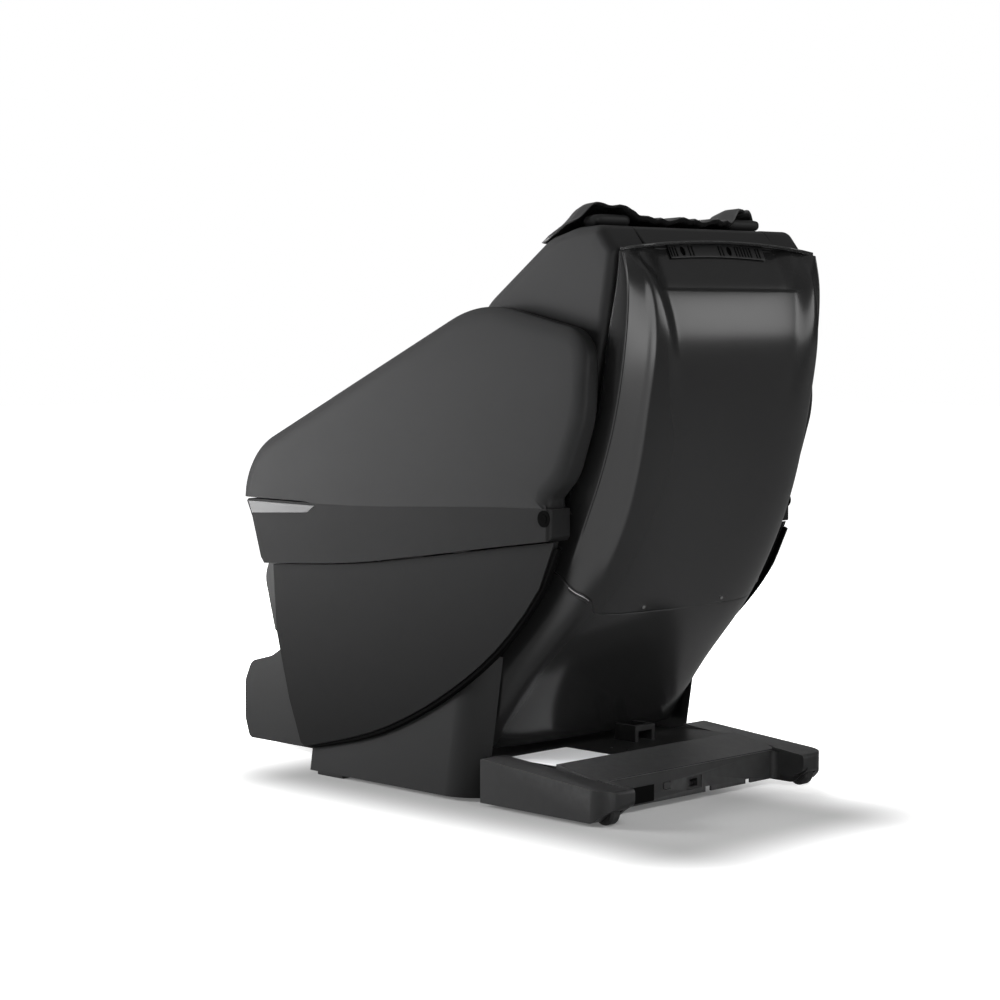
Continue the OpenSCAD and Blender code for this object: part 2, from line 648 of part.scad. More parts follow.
// Thin shell between two heights, its ends closed by strips between the outer and the inner rows
module cover_shell(low_of, high_of, rows) {
    function at(a, x, k) = mix(low_of(a, x), high_of(a, x), k / rows);
    n = 2 * len(across) - 1;
    outer = [for (k = [0 : rows]) each cover_row(function(a, x) at(a, x, k), 0)];
    inner = [for (k = [0 : rows]) each cover_row(function(a, x) at(a, x, k), cover_t)];
    m = len(outer);
    top = rows * n;
    polyhedron(points = concat(outer, inner), faces = concat(
        [for (k = [0 : rows - 1], j = [0 : n - 2]) let(i = k * n + j) each [
            [i, i + n, i + 1], [i + 1, i + n, i + n + 1],
            [m + i, m + i + 1, m + i + n], [m + i + 1, m + i + n + 1, m + i + n]]],
        [for (j = [0 : n - 2]) each [
            [j, j + 1, m + j], [j + 1, m + j + 1, m + j],
            [top + j, m + top + j, top + j + 1], [top + j + 1, m + top + j, m + top + j + 1]]],
        [for (k = [0 : rows - 1]) let(i = k * n, e = i + n - 1) each [
            [i, m + i, i + n], [i + n, m + i, m + i + n],
            [e, e + n, m + e], [e + n, m + e + n, m + e]]]), convexity = 6);
}

seam_points = [[0, 100], [0.12, 81], [0.28, 57], [0.475, 35], [0.56, 9], [0.7, 3], [1, 0]];
function seam_of(a) = seam_h + curve(seam_points, a);
screw_z = 404;
screw_y = rear_face(screw_span / 2, screw_z);
slope_there = 31;                  // slope of the cover at its screws
module screw_place(x) {
    translate([x, screw_y, screw_z]) rotate([-90 - slope_there, 0, 0]) children();
}

module upper_back_cover() {
    color(gloss_dark) difference() {
        cover_shell(function(a, x) seam_of(a) + seam / 2, function(a, x) rim_z - rim_drop(x), 20);
        for (x = [-1, 1]) screw_place(x * screw_span / 2) translate([0, 0, -9]) cylinder(d = 4.4, h = 18, $fn = 24);
    }
}
module lower_back_cover() {
    color(gloss_dark) cover_shell(function(a, x) cover_z, function(a, x) seam_of(a) - seam / 2, 9);
}

function behind_cap(z) = z > 1112 ? 577 - (z - 1112) * 0.98 : 581;
module cover_rim() {
    ring = [for (s = [-8 : 8]) let(x = s * (half_back - 9) / 8) [x, rim_z - rim_drop(x) + seat_gap]];
    color(gloss_dark) skin([for (p = ring) [[p[0], behind_cap(p[1]), p[1]], [p[0], 595, p[1]],
                                           [p[0], 597, p[1] + 3], [p[0], behind_cap(p[1] + 6), p[1] + 6]]]);
}

// Thin piece lying on the covers, from rows of [x, z low, z high]
module on_cover(rows, lift, t) {
    skin([for (r = rows) [[r[0], rear_face(r[0], r[1]) + lift, r[1]], [r[0], rear_face(r[0], r[1]) + lift + t, r[1]],
                          [r[0], rear_face(r[0], r[2]) + lift + t, r[2]], [r[0], rear_face(r[0], r[2]) + lift, r[2]]]]);
}

module vent_strip() {
    color([0.05, 0.05, 0.05]) on_cover([for (k = [-6 : 6]) let(x = k * vent_w / 12)
        [x, rim_z - rim_drop(x) - 26, rim_z - rim_drop(x)]], 2.2, 2);
}

module side_louvres() {
    color([0.3, 0.3, 0.31]) both_sides() skin([for (a = [5 / 24 : 1 / 24 : 0.46])
        let(x = cover_x(a, 0), c = cos(90 * a), s = sin(90 * a), q = unit([pow(c, 1.5), pow(s, 1.5) * 1.6]),
            z0 = seam_of(a) - 10, z1 = seam_of(a) - 3)
        [for (e = [[0.3, z0], [1.9, z0], [1.9, z1], [0.3, z1]])
            [x + e[0] * q[0], cover_y(x, a, e[1], 0) + e[0] * q[1], e[1]]]]);
}

module cover_screws() {
    color(steel) for (x = [-1, 1]) screw_place(x * screw_span / 2) {
        translate([0, 0, 0.3]) cylinder(d = 7, h = 1.6, $fn = 32);
        translate([0, 0, -8]) cylinder(d = 4, h = 8.5, $fn = 24);
    }
}

module back_frame() {
    lugs = frame_w / 2;
    color(steel) {
        difference() {
            union() {
                in_back() both_sides() {
                    box([lugs - 20, lugs], [60, 96], [0, 700]);
                    box([lugs - 20, lugs], [-22, 96], [-24, 40]);
                }
                for (x = [recline_x - 17, recline_x + 11])
                    translate([0, recline_y, recline_z]) side_slab(lever_outline, x, x + 6);
                x_rod(pivot_d + 10, -lugs + 19, lugs - 19, recline_y, recline_z);
            }
            x_rod(pivot_d + 2 * run_gap, -lugs - 5, lugs + 5, recline_y, recline_z);
        }
        in_back() for (z = [60, 668]) box([-lugs + 19, lugs - 19], [64, 92], [z, z + 24]);
        for (x = [-1, 1], b = [[[255, 436], [258, 446], 372, 432], [[448, 1012], [455, 1022], 962, 1020]])
            let(u = screw_span / 2 + 7, reach = [for (k = [0 : 5]) let(z = mix(b[2], b[3], k / 5))
                [rear_face(u, z) - cover_t - 3.1, z]])
            side_slab(concat([b[0]], reach, [b[1]]), x * u - 3, x * u + 3);
        x_rod(pin_d, recline_x - 17, recline_x + 17, recline_pin_y, recline_z + recline_rest[1]);
    }
}
lever_outline = [for (a = [0 : 15 : 345]) 24 * [cos(a), sin(a)] + (sin(a) * cos(25) - cos(a) * sin(25) < 0 ? recline_rest * 0.98 : [0, 0])];

module guide_rails() {
    color([0.35, 0.35, 0.37]) in_back() both_sides()
        box([136, 150], [66, 90], [84.3, 667.7]);
}

wing_outline = rounded([[166, 478, 20], [300, 476, 60], [428, 600, 120], [516, 790, 250], [556, 960, 300],
                        [578, 1108, 10], [531, 1158, 24], [463, 1154, 90], [392, 1134, 90], [222, 1010, 130],
                        [148, 900, 120], [142, 700, 200]], 5);
module wing(left) {
    color(shell_dark) on_side(left) side_pad(wing_outline, wing_in, wing_out, 24, 0);
}

module top_cap() {
    o = rounded([[440, 1100, 10], [560, 1092, 8], [575, 1112, 10], [531, 1157, 24], [463, 1154, 60], [425, 1142, 12]], 5);
    color(shell_dark) side_slab(o, -wing_in + seat_gap, wing_in - seat_gap);
}

module back_cushion() {
    half = back_pad_w / 2;
    o = rounded([[-half, 92, 40], [half, 92, 40], [half, 735, 70], [-half, 735, 70]], 6);
    levels = [[0, 4], [0.3, 0], [0.6, 3], [0.8, 12], [0.93, 34], [1, 80]];
    color(shell_dark) in_back()
        skin([for (l = levels) [for (p = gathered(o, [0, 413.5], [half, 321.5], l[1]))
            [p[0], 60 - seat_gap - back_pad_t * l[0], p[1]]]]);
}

// Head pad: it lies on the back cushion between the wings and drapes over the wings and the cap
pad_middle = [[350, 967], [368, 1019], [386, 1061], [400, 1082], [408, 1100], [421, 1139], [430, 1147], [463, 1157], [505, 1160]];
pad_sides = [[340, 1099.5], [352, 1108.5], [365, 1118], [378, 1127], [392, 1136], [410, 1142], [430, 1148], [463, 1157.5], [505, 1161]];
pad_out = [[-0.95, 0.33], [-0.95, 0.33], [-0.93, 0.36], [-0.9, 0.45], [-0.8, 0.6], [-0.45, 0.9], [-0.2, 1], [0, 1], [0.35, 0.8]];
module head_pad() {
    half = [0, 24, 48, 72, 96, 120, 144, 162, 178, 199, 214, 228, 242, 256, 270, 281, 289];
    xs = concat([for (k = [len(half) - 1 : -1 : 1]) -half[k]], half);
    function hump(x) = 31 * (1 - smooth((abs(abs(x) - 209) - 30) / 45));
    function ruffle(x, k) = smooth((k - 4) / 4) * (3 + 3 * sin(x * 3.4 + 40) + 2.5 * sin(x * 7.1 + k * 30));
    function lift(x, k) = hump(x) * smooth((k - 3) / 3) + ruffle(x, k);
    function thick(x, k) = (15 - 7 * smooth((abs(x) - 140) / 60) * smooth((k - 3) / 4)) * (1 - 0.55 * smooth((abs(x) - 262) / 27));
    function side_at(t) = let(i = min(7, floor(t))) mix(pad_sides[i], pad_sides[i + 1], t - i);
    rings = [for (x = xs)
        let(w = smooth((abs(x) - 178) / 21), back = 2.4 * smooth((abs(x) - 205) / 60), low = [for (k = [0 : 8])
            let(p = mix(pad_middle[k], side_at(k + back * (1 - k / 8)), w))
            [p[0] - 70 * pow(abs(x) / 290, 3) * pow(k / 8, 3), p[1] + lift(x, k) + (k == 0 ? 1 : 0)]])
        concat([for (k = [0 : 8]) [x, low[k][0] - 0.8, low[k][1] + 0.8]],
               [for (k = [8 : -1 : 0]) [x, low[k][0] + pad_out[k][0] * thick(x, k), low[k][1] + pad_out[k][1] * thick(x, k)]])];
    color(shell_dark) {
        skin(rings);
        both_sides() skin([for (e = [[148, 8], [156, 2], [170, 0], [240, 0], [249, 3], [252, 9]])
            [[e[0], 442 + e[1], 1151.5], [e[0], 484 - e[1], 1160.5], [e[0], 486 - e[1], 1174 - e[1]], [e[0], 478 - e[1], 1180 - e[1]],
             [e[0], 450 + e[1], 1177 - e[1]], [e[0], 441 + e[1], 1170 - e[1]]]]);
    }
}

screw_d = 14;
module lift_screw() {
    color(steel) in_back() translate([0, 78, 84.3]) cylinder(d = screw_d, h = 583.4, $fn = 32);
}

carriage_z = 150;
knead_pin = 8;
knead_y = 90;
module massage_carriage() {
    color([0.25, 0.25, 0.27]) in_back() {
        difference() {
            union() {
                box([-132, 132], [118, 158], [carriage_z, carriage_z + 120]);
                both_sides() box([110, 135.7], [70, 119], [carriage_z + 10, carriage_z + 110]);
                box([-24, 24], [62, 119], [carriage_z + 40, carriage_z + 80]);
                both_sides() translate([62, 136, carriage_z + 119]) cylinder(d = 46, h = 51, $fn = 48);
            }
            translate([0, 78, carriage_z]) cylinder(d = screw_d + 2 * run_gap, h = 140, $fn = 32);
        }
        both_sides() {
            for (x = [52, 76.4]) box([x, x + 11.6], [knead_y - 6, 119], [carriage_z + 52, carriage_z + 68]);
            x_rod(knead_pin, 53, 87, knead_y, carriage_z + 60);
        }
    }
}

module knead_arm(left) {
    color([0.2, 0.2, 0.2]) in_back() on_side(left) translate([70, knead_y, carriage_z + 60]) difference() {
        union() {
            box([-6, 6], [-7, 7], [-60, 60]);
            for (z = [-60, 60]) x_rod(28, -14, 14, -2, z);
        }
        x_rod(knead_pin + 2 * run_gap, -7, 7, 0, 0);
    }
}

// ---- legrest ----

half_leg = leg_w / 2;
slide_x = half_leg - leg_t - 30;   // steel slides of the foot unit
slide_y = -404;
slide_d = 12;
well_in = 22;                      // half of the wall between the two legs

module leg_shell() {
    wall = rounded([[leg_y - 96, 450, 12], [-560, 446, 26], [-584, 396, 60], [-556, 300, 60], [-548, 272, 6],
                    [-430, 272, 20], [leg_y - 36, 330, 40], [leg_y + 18, leg_z - 16, 18], [leg_y + 10, leg_z + 12, 12],
                    [leg_y - 76, leg_z + 12, 20]], 5);
    color(shell_dark) difference() {
        union() {
            both_sides() side_slab(wall, half_leg - leg_t, half_leg);
            side_slab(wall, -well_in, well_in);
            box([-half_leg + leg_t - 1, half_leg - leg_t + 1], [-440, -428], [290, 440]);
            both_sides() box([slide_x - 14, slide_x + 14], [-429, slide_y + 12], [280, 304]);
        }
        both_sides() translate([slide_x, slide_y, 270]) cylinder(d = slide_d + 2 * run_gap, h = 50, $fn = 32);
        x_rod(leg_tube_d + 2 * run_gap, -half_leg - 1, half_leg + 1, leg_y, leg_z);
    }
    color(steel) {
        x_rod(pin_d, leg_x - 17, leg_x + 17, leg_pin_y, leg_z + leg_rest[1]);
        difference() {
            union() {
                for (x = [leg_x - 17, leg_x + 11]) translate([0, leg_y, leg_z]) side_slab(leg_lever, x, x + 6);
                x_rod(leg_tube_d + 10, well_in - 1, half_leg - leg_t + 1, leg_y, leg_z);
            }
            x_rod(leg_tube_d + 2 * run_gap, 0, half_leg, leg_y, leg_z);
        }
    }
}
leg_lever = [for (a = [0 : 15 : 345]) 17 * [cos(a), sin(a)] + (sin(a) * cos(42) - cos(a) * sin(42) < 0 ? leg_rest * 0.96 : [0, 0])];

module calf_pads() {
    color(shell_dark) both_sides()
        box([well_in + seat_gap, half_leg - leg_t - seat_gap], [-470, -440.3], [286, 440]);
}

half_foot = foot_w / 2;
foot_top = 272 - foot_gap;
module foot_shell() {
    wall = rounded([[-640, 18, 14], [-655, 60, 40], [-655, 150, 40], [-632, 196, 30], [-560, 214, 60],
                    [-470, foot_top, 30], [-385, foot_top, 10], [-385, 18, 16]], 5);
    color(shell_dark) {
        both_sides() side_slab(wall, half_foot - leg_t, half_foot);
        side_slab(wall, -well_in, well_in);
        box([-half_foot + leg_t - 1, half_foot - leg_t + 1], [-636, -385], [18, 34]);
        box([-half_foot + leg_t - 1, half_foot - leg_t + 1], [-397, -385], [33, 200]);
        both_sides() box([slide_x - 12, slide_x + 12], [slide_y - 10, -396], [150, 200]);
    }
    color(steel) both_sides() translate([slide_x, slide_y, 190]) cylinder(d = slide_d, h = 252, $fn = 32);
}

module foot_pads() {
    color(shell_dark) both_sides()
        box([well_in + seat_gap, half_foot - leg_t - seat_gap], [-630, -416], [34 + seat_gap, 46]);
}

base_frame();
deck();
skirt(true);  // skirt_left
skirt(false);  // skirt_right
rear_beam(true);  // rear_beam_left
rear_beam(false);  // rear_beam_right
rear_fascia();
service_plate();
blank_plate();
power_inlet();
power_rocker();
front_feet();
caster_wheel(true);  // caster_wheel_left
caster_wheel(false);  // caster_wheel_right
caster_axles();
seat_frame();
control_box();
air_pump();
recline_motor();
recline_rod();
leg_motor();
leg_rod();
side_panel(true);  // side_panel_left
side_panel(false);  // side_panel_right
arm_band(true);  // arm_band_left
arm_band(false);  // arm_band_right
arm_shell(true);  // arm_shell_left
arm_shell(false);  // arm_shell_right
arm_trims();
arm_caps();
arm_pad(true);  // arm_pad_left
arm_pad(false);  // arm_pad_right
seat_cushion();
controller_post();
controller();
power_button();
stop_button();
back_frame();
guide_rails();
upper_back_cover();
lower_back_cover();
cover_rim();
vent_strip();
side_louvres();
cover_screws();
wing(true);  // wing_left
wing(false);  // wing_right
top_cap();
back_cushion();
head_pad();
lift_screw();
massage_carriage();
knead_arm(true);  // knead_arm_left
knead_arm(false);  // knead_arm_right
leg_shell();
calf_pads();
foot_shell();
foot_pads();
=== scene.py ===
import json
import math

import bpy
import numpy as np
from mathutils import Matrix, Vector

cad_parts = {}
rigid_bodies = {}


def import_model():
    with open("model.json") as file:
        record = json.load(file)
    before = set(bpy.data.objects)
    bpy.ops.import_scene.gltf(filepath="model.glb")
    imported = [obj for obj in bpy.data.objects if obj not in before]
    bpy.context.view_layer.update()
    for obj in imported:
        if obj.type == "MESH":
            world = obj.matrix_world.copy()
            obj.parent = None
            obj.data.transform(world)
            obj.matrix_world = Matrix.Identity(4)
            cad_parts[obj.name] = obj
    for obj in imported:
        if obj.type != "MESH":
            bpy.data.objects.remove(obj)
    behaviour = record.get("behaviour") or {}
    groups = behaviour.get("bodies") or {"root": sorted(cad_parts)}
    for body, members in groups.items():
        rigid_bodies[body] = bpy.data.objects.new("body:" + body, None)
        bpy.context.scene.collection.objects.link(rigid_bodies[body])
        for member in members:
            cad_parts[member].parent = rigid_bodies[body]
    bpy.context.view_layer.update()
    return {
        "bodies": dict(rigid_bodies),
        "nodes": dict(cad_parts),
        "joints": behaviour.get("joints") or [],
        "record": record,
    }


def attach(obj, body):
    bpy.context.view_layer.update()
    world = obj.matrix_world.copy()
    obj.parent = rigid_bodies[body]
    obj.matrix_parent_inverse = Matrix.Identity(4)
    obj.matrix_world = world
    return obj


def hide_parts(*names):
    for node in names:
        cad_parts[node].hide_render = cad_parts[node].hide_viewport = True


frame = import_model()
nodes = frame["nodes"]
bodyOf = {node: body for body, members in frame["record"]["behaviour"]["bodies"].items() for node in members}
mm = 0.001


# small helpers

def clearSelection():
    active = bpy.context.view_layer.objects.active
    if active and active.mode != "OBJECT":
        bpy.ops.object.mode_set(mode="OBJECT")
    bpy.ops.object.select_all(action="DESELECT")


def pick(piece):
    clearSelection()
    piece.select_set(True)
    bpy.context.view_layer.objects.active = piece


def smooth(t):
    t = max(0.0, min(1.0, t))
    return t * t * (3 - 2 * t)


def mix(a, b, t):
    return a + (b - a) * t


def curveAt(points, s):  # a smooth curve through the points, as a spline with its own end slopes
    last = len(points) - 1

    def slope(i):
        low, high = max(i - 1, 0), min(i + 1, last)
        return (points[high][1] - points[low][1]) / (points[high][0] - points[low][0])

    i = 0
    while i < last - 1 and s >= points[i + 1][0]:
        i += 1
    w = points[i + 1][0] - points[i][0]
    t = (s - points[i][0]) / w
    return ((2 * t ** 3 - 3 * t * t + 1) * points[i][1] + (t ** 3 - 2 * t * t + t) * w * slope(i)
            + (3 * t * t - 2 * t ** 3) * points[i + 1][1] + (t ** 3 - t * t) * w * slope(i + 1))


def straightAt(points, s):  # straight lines between the points
    return float(np.interp(s, [p[0] for p in points], [p[1] for p in points]))


def rounded(corners, steps=8):  # outline with each corner (a, b, radius) rounded
    line = []
    count = len(corners)
    for i, (a, b, radius) in enumerate(corners):
        here = Vector((a, b))
        if radius == 0:
            line.append(here)
            continue
        before = (Vector(corners[i - 1][:2]) - here).normalized()
        after = (Vector(corners[(i + 1) % count][:2]) - here).normalized()
        half = math.acos(max(-1, min(1, before.dot(after)))) / 2
        reach = radius / math.tan(half)
        middle = here + (before + after).normalized() * (radius / math.sin(half))
        start, end = here + before * reach - middle, here + after * reach - middle
        turn = start.angle_signed(end)
        line += [middle + Matrix.Rotation(-turn * k / steps, 2) @ start for k in range(steps + 1)]
    return line


def gridPiece(name, rows):  # a grid whose points are moved to the rows, in millimetres
    lines, count = len(rows), len(rows[0])
    clearSelection()
    bpy.ops.mesh.primitive_grid_add(x_subdivisions=count - 1, y_subdivisions=lines - 1, size=1)
    piece = bpy.context.object
    piece.name = piece.data.name = name
    spots = np.empty(count * lines * 3)
    piece.data.vertices.foreach_get("co", spots)
    spots = spots.reshape(-1, 3)
    across = np.rint((spots[:, 0] + 0.5) * (count - 1)).astype(int)
    along = np.rint((spots[:, 1] + 0.5) * (lines - 1)).astype(int)
    piece.data.vertices.foreach_set("co", (np.array(rows, float)[along, across] * mm).ravel())
    piece.data.update()
    return piece


def edited(piece, **operators):  # mesh operators on all of a piece
    pick(piece)
    bpy.ops.object.mode_set(mode="EDIT")
    bpy.ops.mesh.select_all(action="SELECT")
    for operator, settings in operators.items():
        getattr(bpy.ops.mesh, operator)(**settings)
    bpy.ops.object.mode_set(mode="OBJECT")
    return piece


def joined(pieces):
    clearSelection()
    for piece in pieces:
        piece.select_set(True)
    bpy.context.view_layer.objects.active = pieces[0]
    if len(pieces) > 1:
        bpy.ops.object.join()
    return bpy.context.object


def wrapped(name, rows):  # rows of closed loops, their ends drawn together to a point
    rows = [[tuple(p) for p in row] for row in rows]
    ends = [np.mean(np.array(rows[k], float), axis=0) for k in (0, -1)]
    rows = [[tuple(ends[0])] * len(rows[0])] + rows + [[tuple(ends[1])] * len(rows[0])]
    return edited(gridPiece(name, [row + row[:1] for row in rows]), remove_doubles=dict(threshold=1e-5),
                  normals_make_consistent=dict(inside=False))


def addModifier(piece, kind, **settings):
    pick(piece)
    modifier = piece.modifiers.new(kind.title(), kind)
    for key, value in settings.items():
        setattr(modifier, key, value)
    bpy.ops.object.modifier_apply(modifier=modifier.name)


def flatSmooth(piece, angle=35):
    pick(piece)
    bpy.ops.object.shade_smooth_by_angle(angle=math.radians(angle))


def place(piece, body, finish, *stands, angle=None):  # stands: the nodes that the piece replaces
    if angle is not None:
        flatSmooth(piece, angle)
    piece.data.materials.clear()
    piece.data.materials.append(finishes[finish])
    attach(piece, body)
    if stands:
        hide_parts(*stands)
    return piece


def tidyCopy(node, name):  # a node's shape as one joined mesh
    clearSelection()
    piece = bpy.data.objects.new(name, nodes[node].data.copy())
    bpy.context.scene.collection.objects.link(piece)
    piece.data.materials.clear()
    edited(piece, remove_doubles=dict(threshold=2e-6))
    return edited(piece, dissolve_limited=dict(angle_limit=math.radians(0.4)))


def softened(node, name, finish, width=1.0, segments=3):  # a node's copy, its edges eased by a bevel
    piece = tidyCopy(node, name)
    addModifier(piece, "BEVEL", width=width * mm, segments=segments, limit_method="ANGLE",
                angle_limit=math.radians(32), use_clamp_overlap=True, miter_outer="MITER_ARC")
    flatSmooth(piece, 38)
    addModifier(piece, "WEIGHTED_NORMAL", keep_sharp=True, weight=60)
    return place(piece, bodyOf[node], finish, node)


# camera

camera = dict(place=(3.829, 3.797, 0.975), turn=135.0, down=4.12, lens=90.0, sensor=36.0)
bpy.ops.object.camera_add(location=camera["place"],
                          rotation=(math.radians(90 - camera["down"]), 0, math.radians(camera["turn"])))
studioCamera = bpy.context.object
studioCamera.data.lens = camera["lens"]
studioCamera.data.sensor_width = camera["sensor"]
studioCamera.data.clip_end = 60
bpy.context.scene.camera = studioCamera
bpy.context.scene.view_settings.view_transform = "Standard"

# finishes

def groupOf(name, inputs, outputs):  # an empty node group with its own inputs and outputs
    group = bpy.data.node_groups.new(name, "ShaderNodeTree")
    for label, value in inputs:
        socket = group.interface.new_socket(label, in_out="INPUT", socket_type="NodeSocketFloat")
        socket.default_value = value
    for label in outputs:
        group.interface.new_socket(label, in_out="OUTPUT", socket_type="NodeSocketFloat")
    return group, group.nodes.new("NodeGroupInput"), group.nodes.new("NodeGroupOutput")


def node(tree, kind, **values):  # values set properties and sockets, or link other nodes' sockets
    made = tree.nodes.new("ShaderNode" + kind)
    for key, value in values.items():
        if isinstance(value, bpy.types.NodeSocket):
            tree.links.new(value, made.inputs[key.replace("_", " ")])
        elif hasattr(made, key):
            setattr(made, key, value)
        else:
            made.inputs[key.replace("_", " ")].default_value = value
    return made


def maths(tree, operation, first, second):
    made = tree.nodes.new("ShaderNodeMath")
    made.operation = operation
    for i, value in enumerate((first, second)):
        if isinstance(value, (int, float)):
            made.inputs[i].default_value = value
        else:
            tree.links.new(value, made.inputs[i])
    return made.outputs[0]


def makeMottleGroup():  # slow and fine variation of shade, for handling marks and dust
    tree, given, result = groupOf("mottle", [("Size", 6.0), ("Detail", 6.0)], ["Slow", "Fine"])
    for name, times in (("Slow", 1.0), ("Fine", 14.0)):
        noise = node(tree, "TexNoise", Vector=node(tree, "TexCoord").outputs["Object"],
                     Scale=maths(tree, "MULTIPLY", given.outputs["Size"], times), Detail=given.outputs["Detail"])
        tree.links.new(noise.outputs["Fac"], result.inputs[name])
    return tree


def makePebbleGroup():  # leather pebbles with fine pores between them
    tree, given, result = groupOf("leatherPebble", [("Size", 420.0), ("Pores", 1700.0)], ["Height", "Valley"])
    spot = node(tree, "TexCoord").outputs["Object"]
    wobble = node(tree, "TexNoise", Vector=spot, Scale=90.0, Detail=2.0)
    blend = node(tree, "Mix", data_type="VECTOR")
    blend.inputs[0].default_value = 0.02
    tree.links.new(spot, blend.inputs[4])
    tree.links.new(wobble.outputs["Color"], blend.inputs[5])
    cells = node(tree, "TexVoronoi", feature="SMOOTH_F1", Vector=blend.outputs[1], Scale=given.outputs["Size"])
    pores = node(tree, "TexNoise", Vector=spot, Scale=given.outputs["Pores"], Detail=2.0)
    dome = maths(tree, "SUBTRACT", 1.0, cells.outputs["Distance"])
    tree.links.new(maths(tree, "ADD", dome, maths(tree, "MULTIPLY", pores.outputs["Fac"], 0.35)),
                   result.inputs["Height"])
    tree.links.new(cells.outputs["Distance"], result.inputs["Valley"])
    return tree


def makeGrainGroup():  # the even spark-eroded grain of moulded plastic
    tree, given, result = groupOf("mouldGrain", [("Size", 1500.0)], ["Height"])
    coarse, fine = [node(tree, "TexNoise", Vector=node(tree, "TexCoord").outputs["Object"], Detail=detail,
                         Scale=maths(tree, "MULTIPLY", given.outputs["Size"], times))
                    for detail, times in ((3.0, 1.0), (1.0, 2.7))]
    tree.links.new(maths(tree, "ADD", coarse.outputs["Fac"], maths(tree, "MULTIPLY", fine.outputs["Fac"], 0.5)),
                   result.inputs["Height"])
    return tree


def makeEdgeWearAndHighlightGroup():  # a mask of paler edges: rubbed edges, and a painted highlight along the bevels where the amount is large
    tree, given, result = groupOf("edgeWearAndHighlight", [("Amount", 0.5)], ["Mask"])
    sharp = node(tree, "MapRange", Value=node(tree, "NewGeometry").outputs["Pointiness"], From_Min=0.52,
                 From_Max=0.62)
    noise = node(tree, "TexNoise", Vector=node(tree, "TexCoord").outputs["Object"], Scale=60.0, Detail=4.0)
    wearAndHighlightMask = maths(tree, "MULTIPLY", sharp.outputs["Result"], noise.outputs["Fac"])
    tree.links.new(maths(tree, "MULTIPLY", wearAndHighlightMask, given.outputs["Amount"]), result.inputs["Mask"])
    return tree


mottleGroup, pebbleGroup, grainGroup, edgeWearAndHighlightGroup = (makeMottleGroup(), makePebbleGroup(), makeGrainGroup(),
                                                   makeEdgeWearAndHighlightGroup())


def useGroup(tree, group, **values):
    made = tree.nodes.new("ShaderNodeGroup")
    made.node_tree = group
    for key, value in values.items():
        made.inputs[key].default_value = value
    return made


def shadeMix(tree, factor, dark, light):  # a colour between two greys
    blend = node(tree, "Mix", data_type="RGBA")
    tree.links.new(factor, blend.inputs[0])
    blend.inputs[6].default_value = tuple(dark) + (1,)
    blend.inputs[7].default_value = tuple(light) + (1,)
    return blend.outputs[2]


def makeFinish(name, shade, rough, spread=0.12, roughSpread=0.08, grain=None, grainSize=1500.0, bump=0.05,
               bumpDepth=0.0004, metal=0.0, wearAndHighlight=0.25, mottle=5.0, specular=0.5, fade=None):
    paint = bpy.data.materials.new(name)
    paint.use_nodes = True
    tree = paint.node_tree
    shader = tree.nodes["Principled BSDF"]
    shader.inputs["Metallic"].default_value = metal
    shader.inputs["Specular IOR Level"].default_value = specular
    marks = useGroup(tree, mottleGroup, Size=mottle, Detail=5.0)
    dark = [c * (1 - spread) for c in shade]
    light = [c * (1 + spread) for c in shade]
    colour = shadeMix(tree, marks.outputs["Slow"], dark, light)
    # paler edges: rubbed edges, and where the amount is large a painted highlight
    wearAndHighlightMask = useGroup(tree, edgeWearAndHighlightGroup, Amount=wearAndHighlight)
    edge = node(tree, "Mix", data_type="RGBA")
    tree.links.new(wearAndHighlightMask.outputs["Mask"], edge.inputs[0])
    tree.links.new(colour, edge.inputs[6])
    edge.inputs[7].default_value = tuple(min(1, c * 1.8 + 0.02) for c in shade) + (1,)
    paintColour = edge.outputs[2]
    if fade:  # painted shade, darker below a height or ahead of a place: axis, from, to, share at the start
        axis, low, high, first = fade
        axes = node(tree, "SeparateXYZ", Vector=node(tree, "TexCoord").outputs["Object"])
        paintedShadeShare = node(tree, "MapRange", Value=axes.outputs[axis], From_Min=low, From_Max=high, To_Min=first,
                      To_Max=1.0)
        paintedShadeColour = node(tree, "VectorMath", operation="SCALE", Scale=paintedShadeShare.outputs["Result"])
        tree.links.new(paintColour, paintedShadeColour.inputs[0])
        paintColour = paintedShadeColour.outputs["Vector"]
    tree.links.new(paintColour, shader.inputs["Base Color"])
    rub = maths(tree, "ADD", maths(tree, "MULTIPLY", marks.outputs["Fine"], roughSpread),
                maths(tree, "MULTIPLY", marks.outputs["Slow"], roughSpread))
    tree.links.new(maths(tree, "ADD", rub, rough - roughSpread), shader.inputs["Roughness"])
    if grain:
        surface = useGroup(tree, grain, Size=grainSize)
        relief = node(tree, "Bump", Strength=bump, Distance=bumpDepth, Height=surface.outputs["Height"])
        tree.links.new(relief.outputs["Normal"], shader.inputs["Normal"])
    return paint


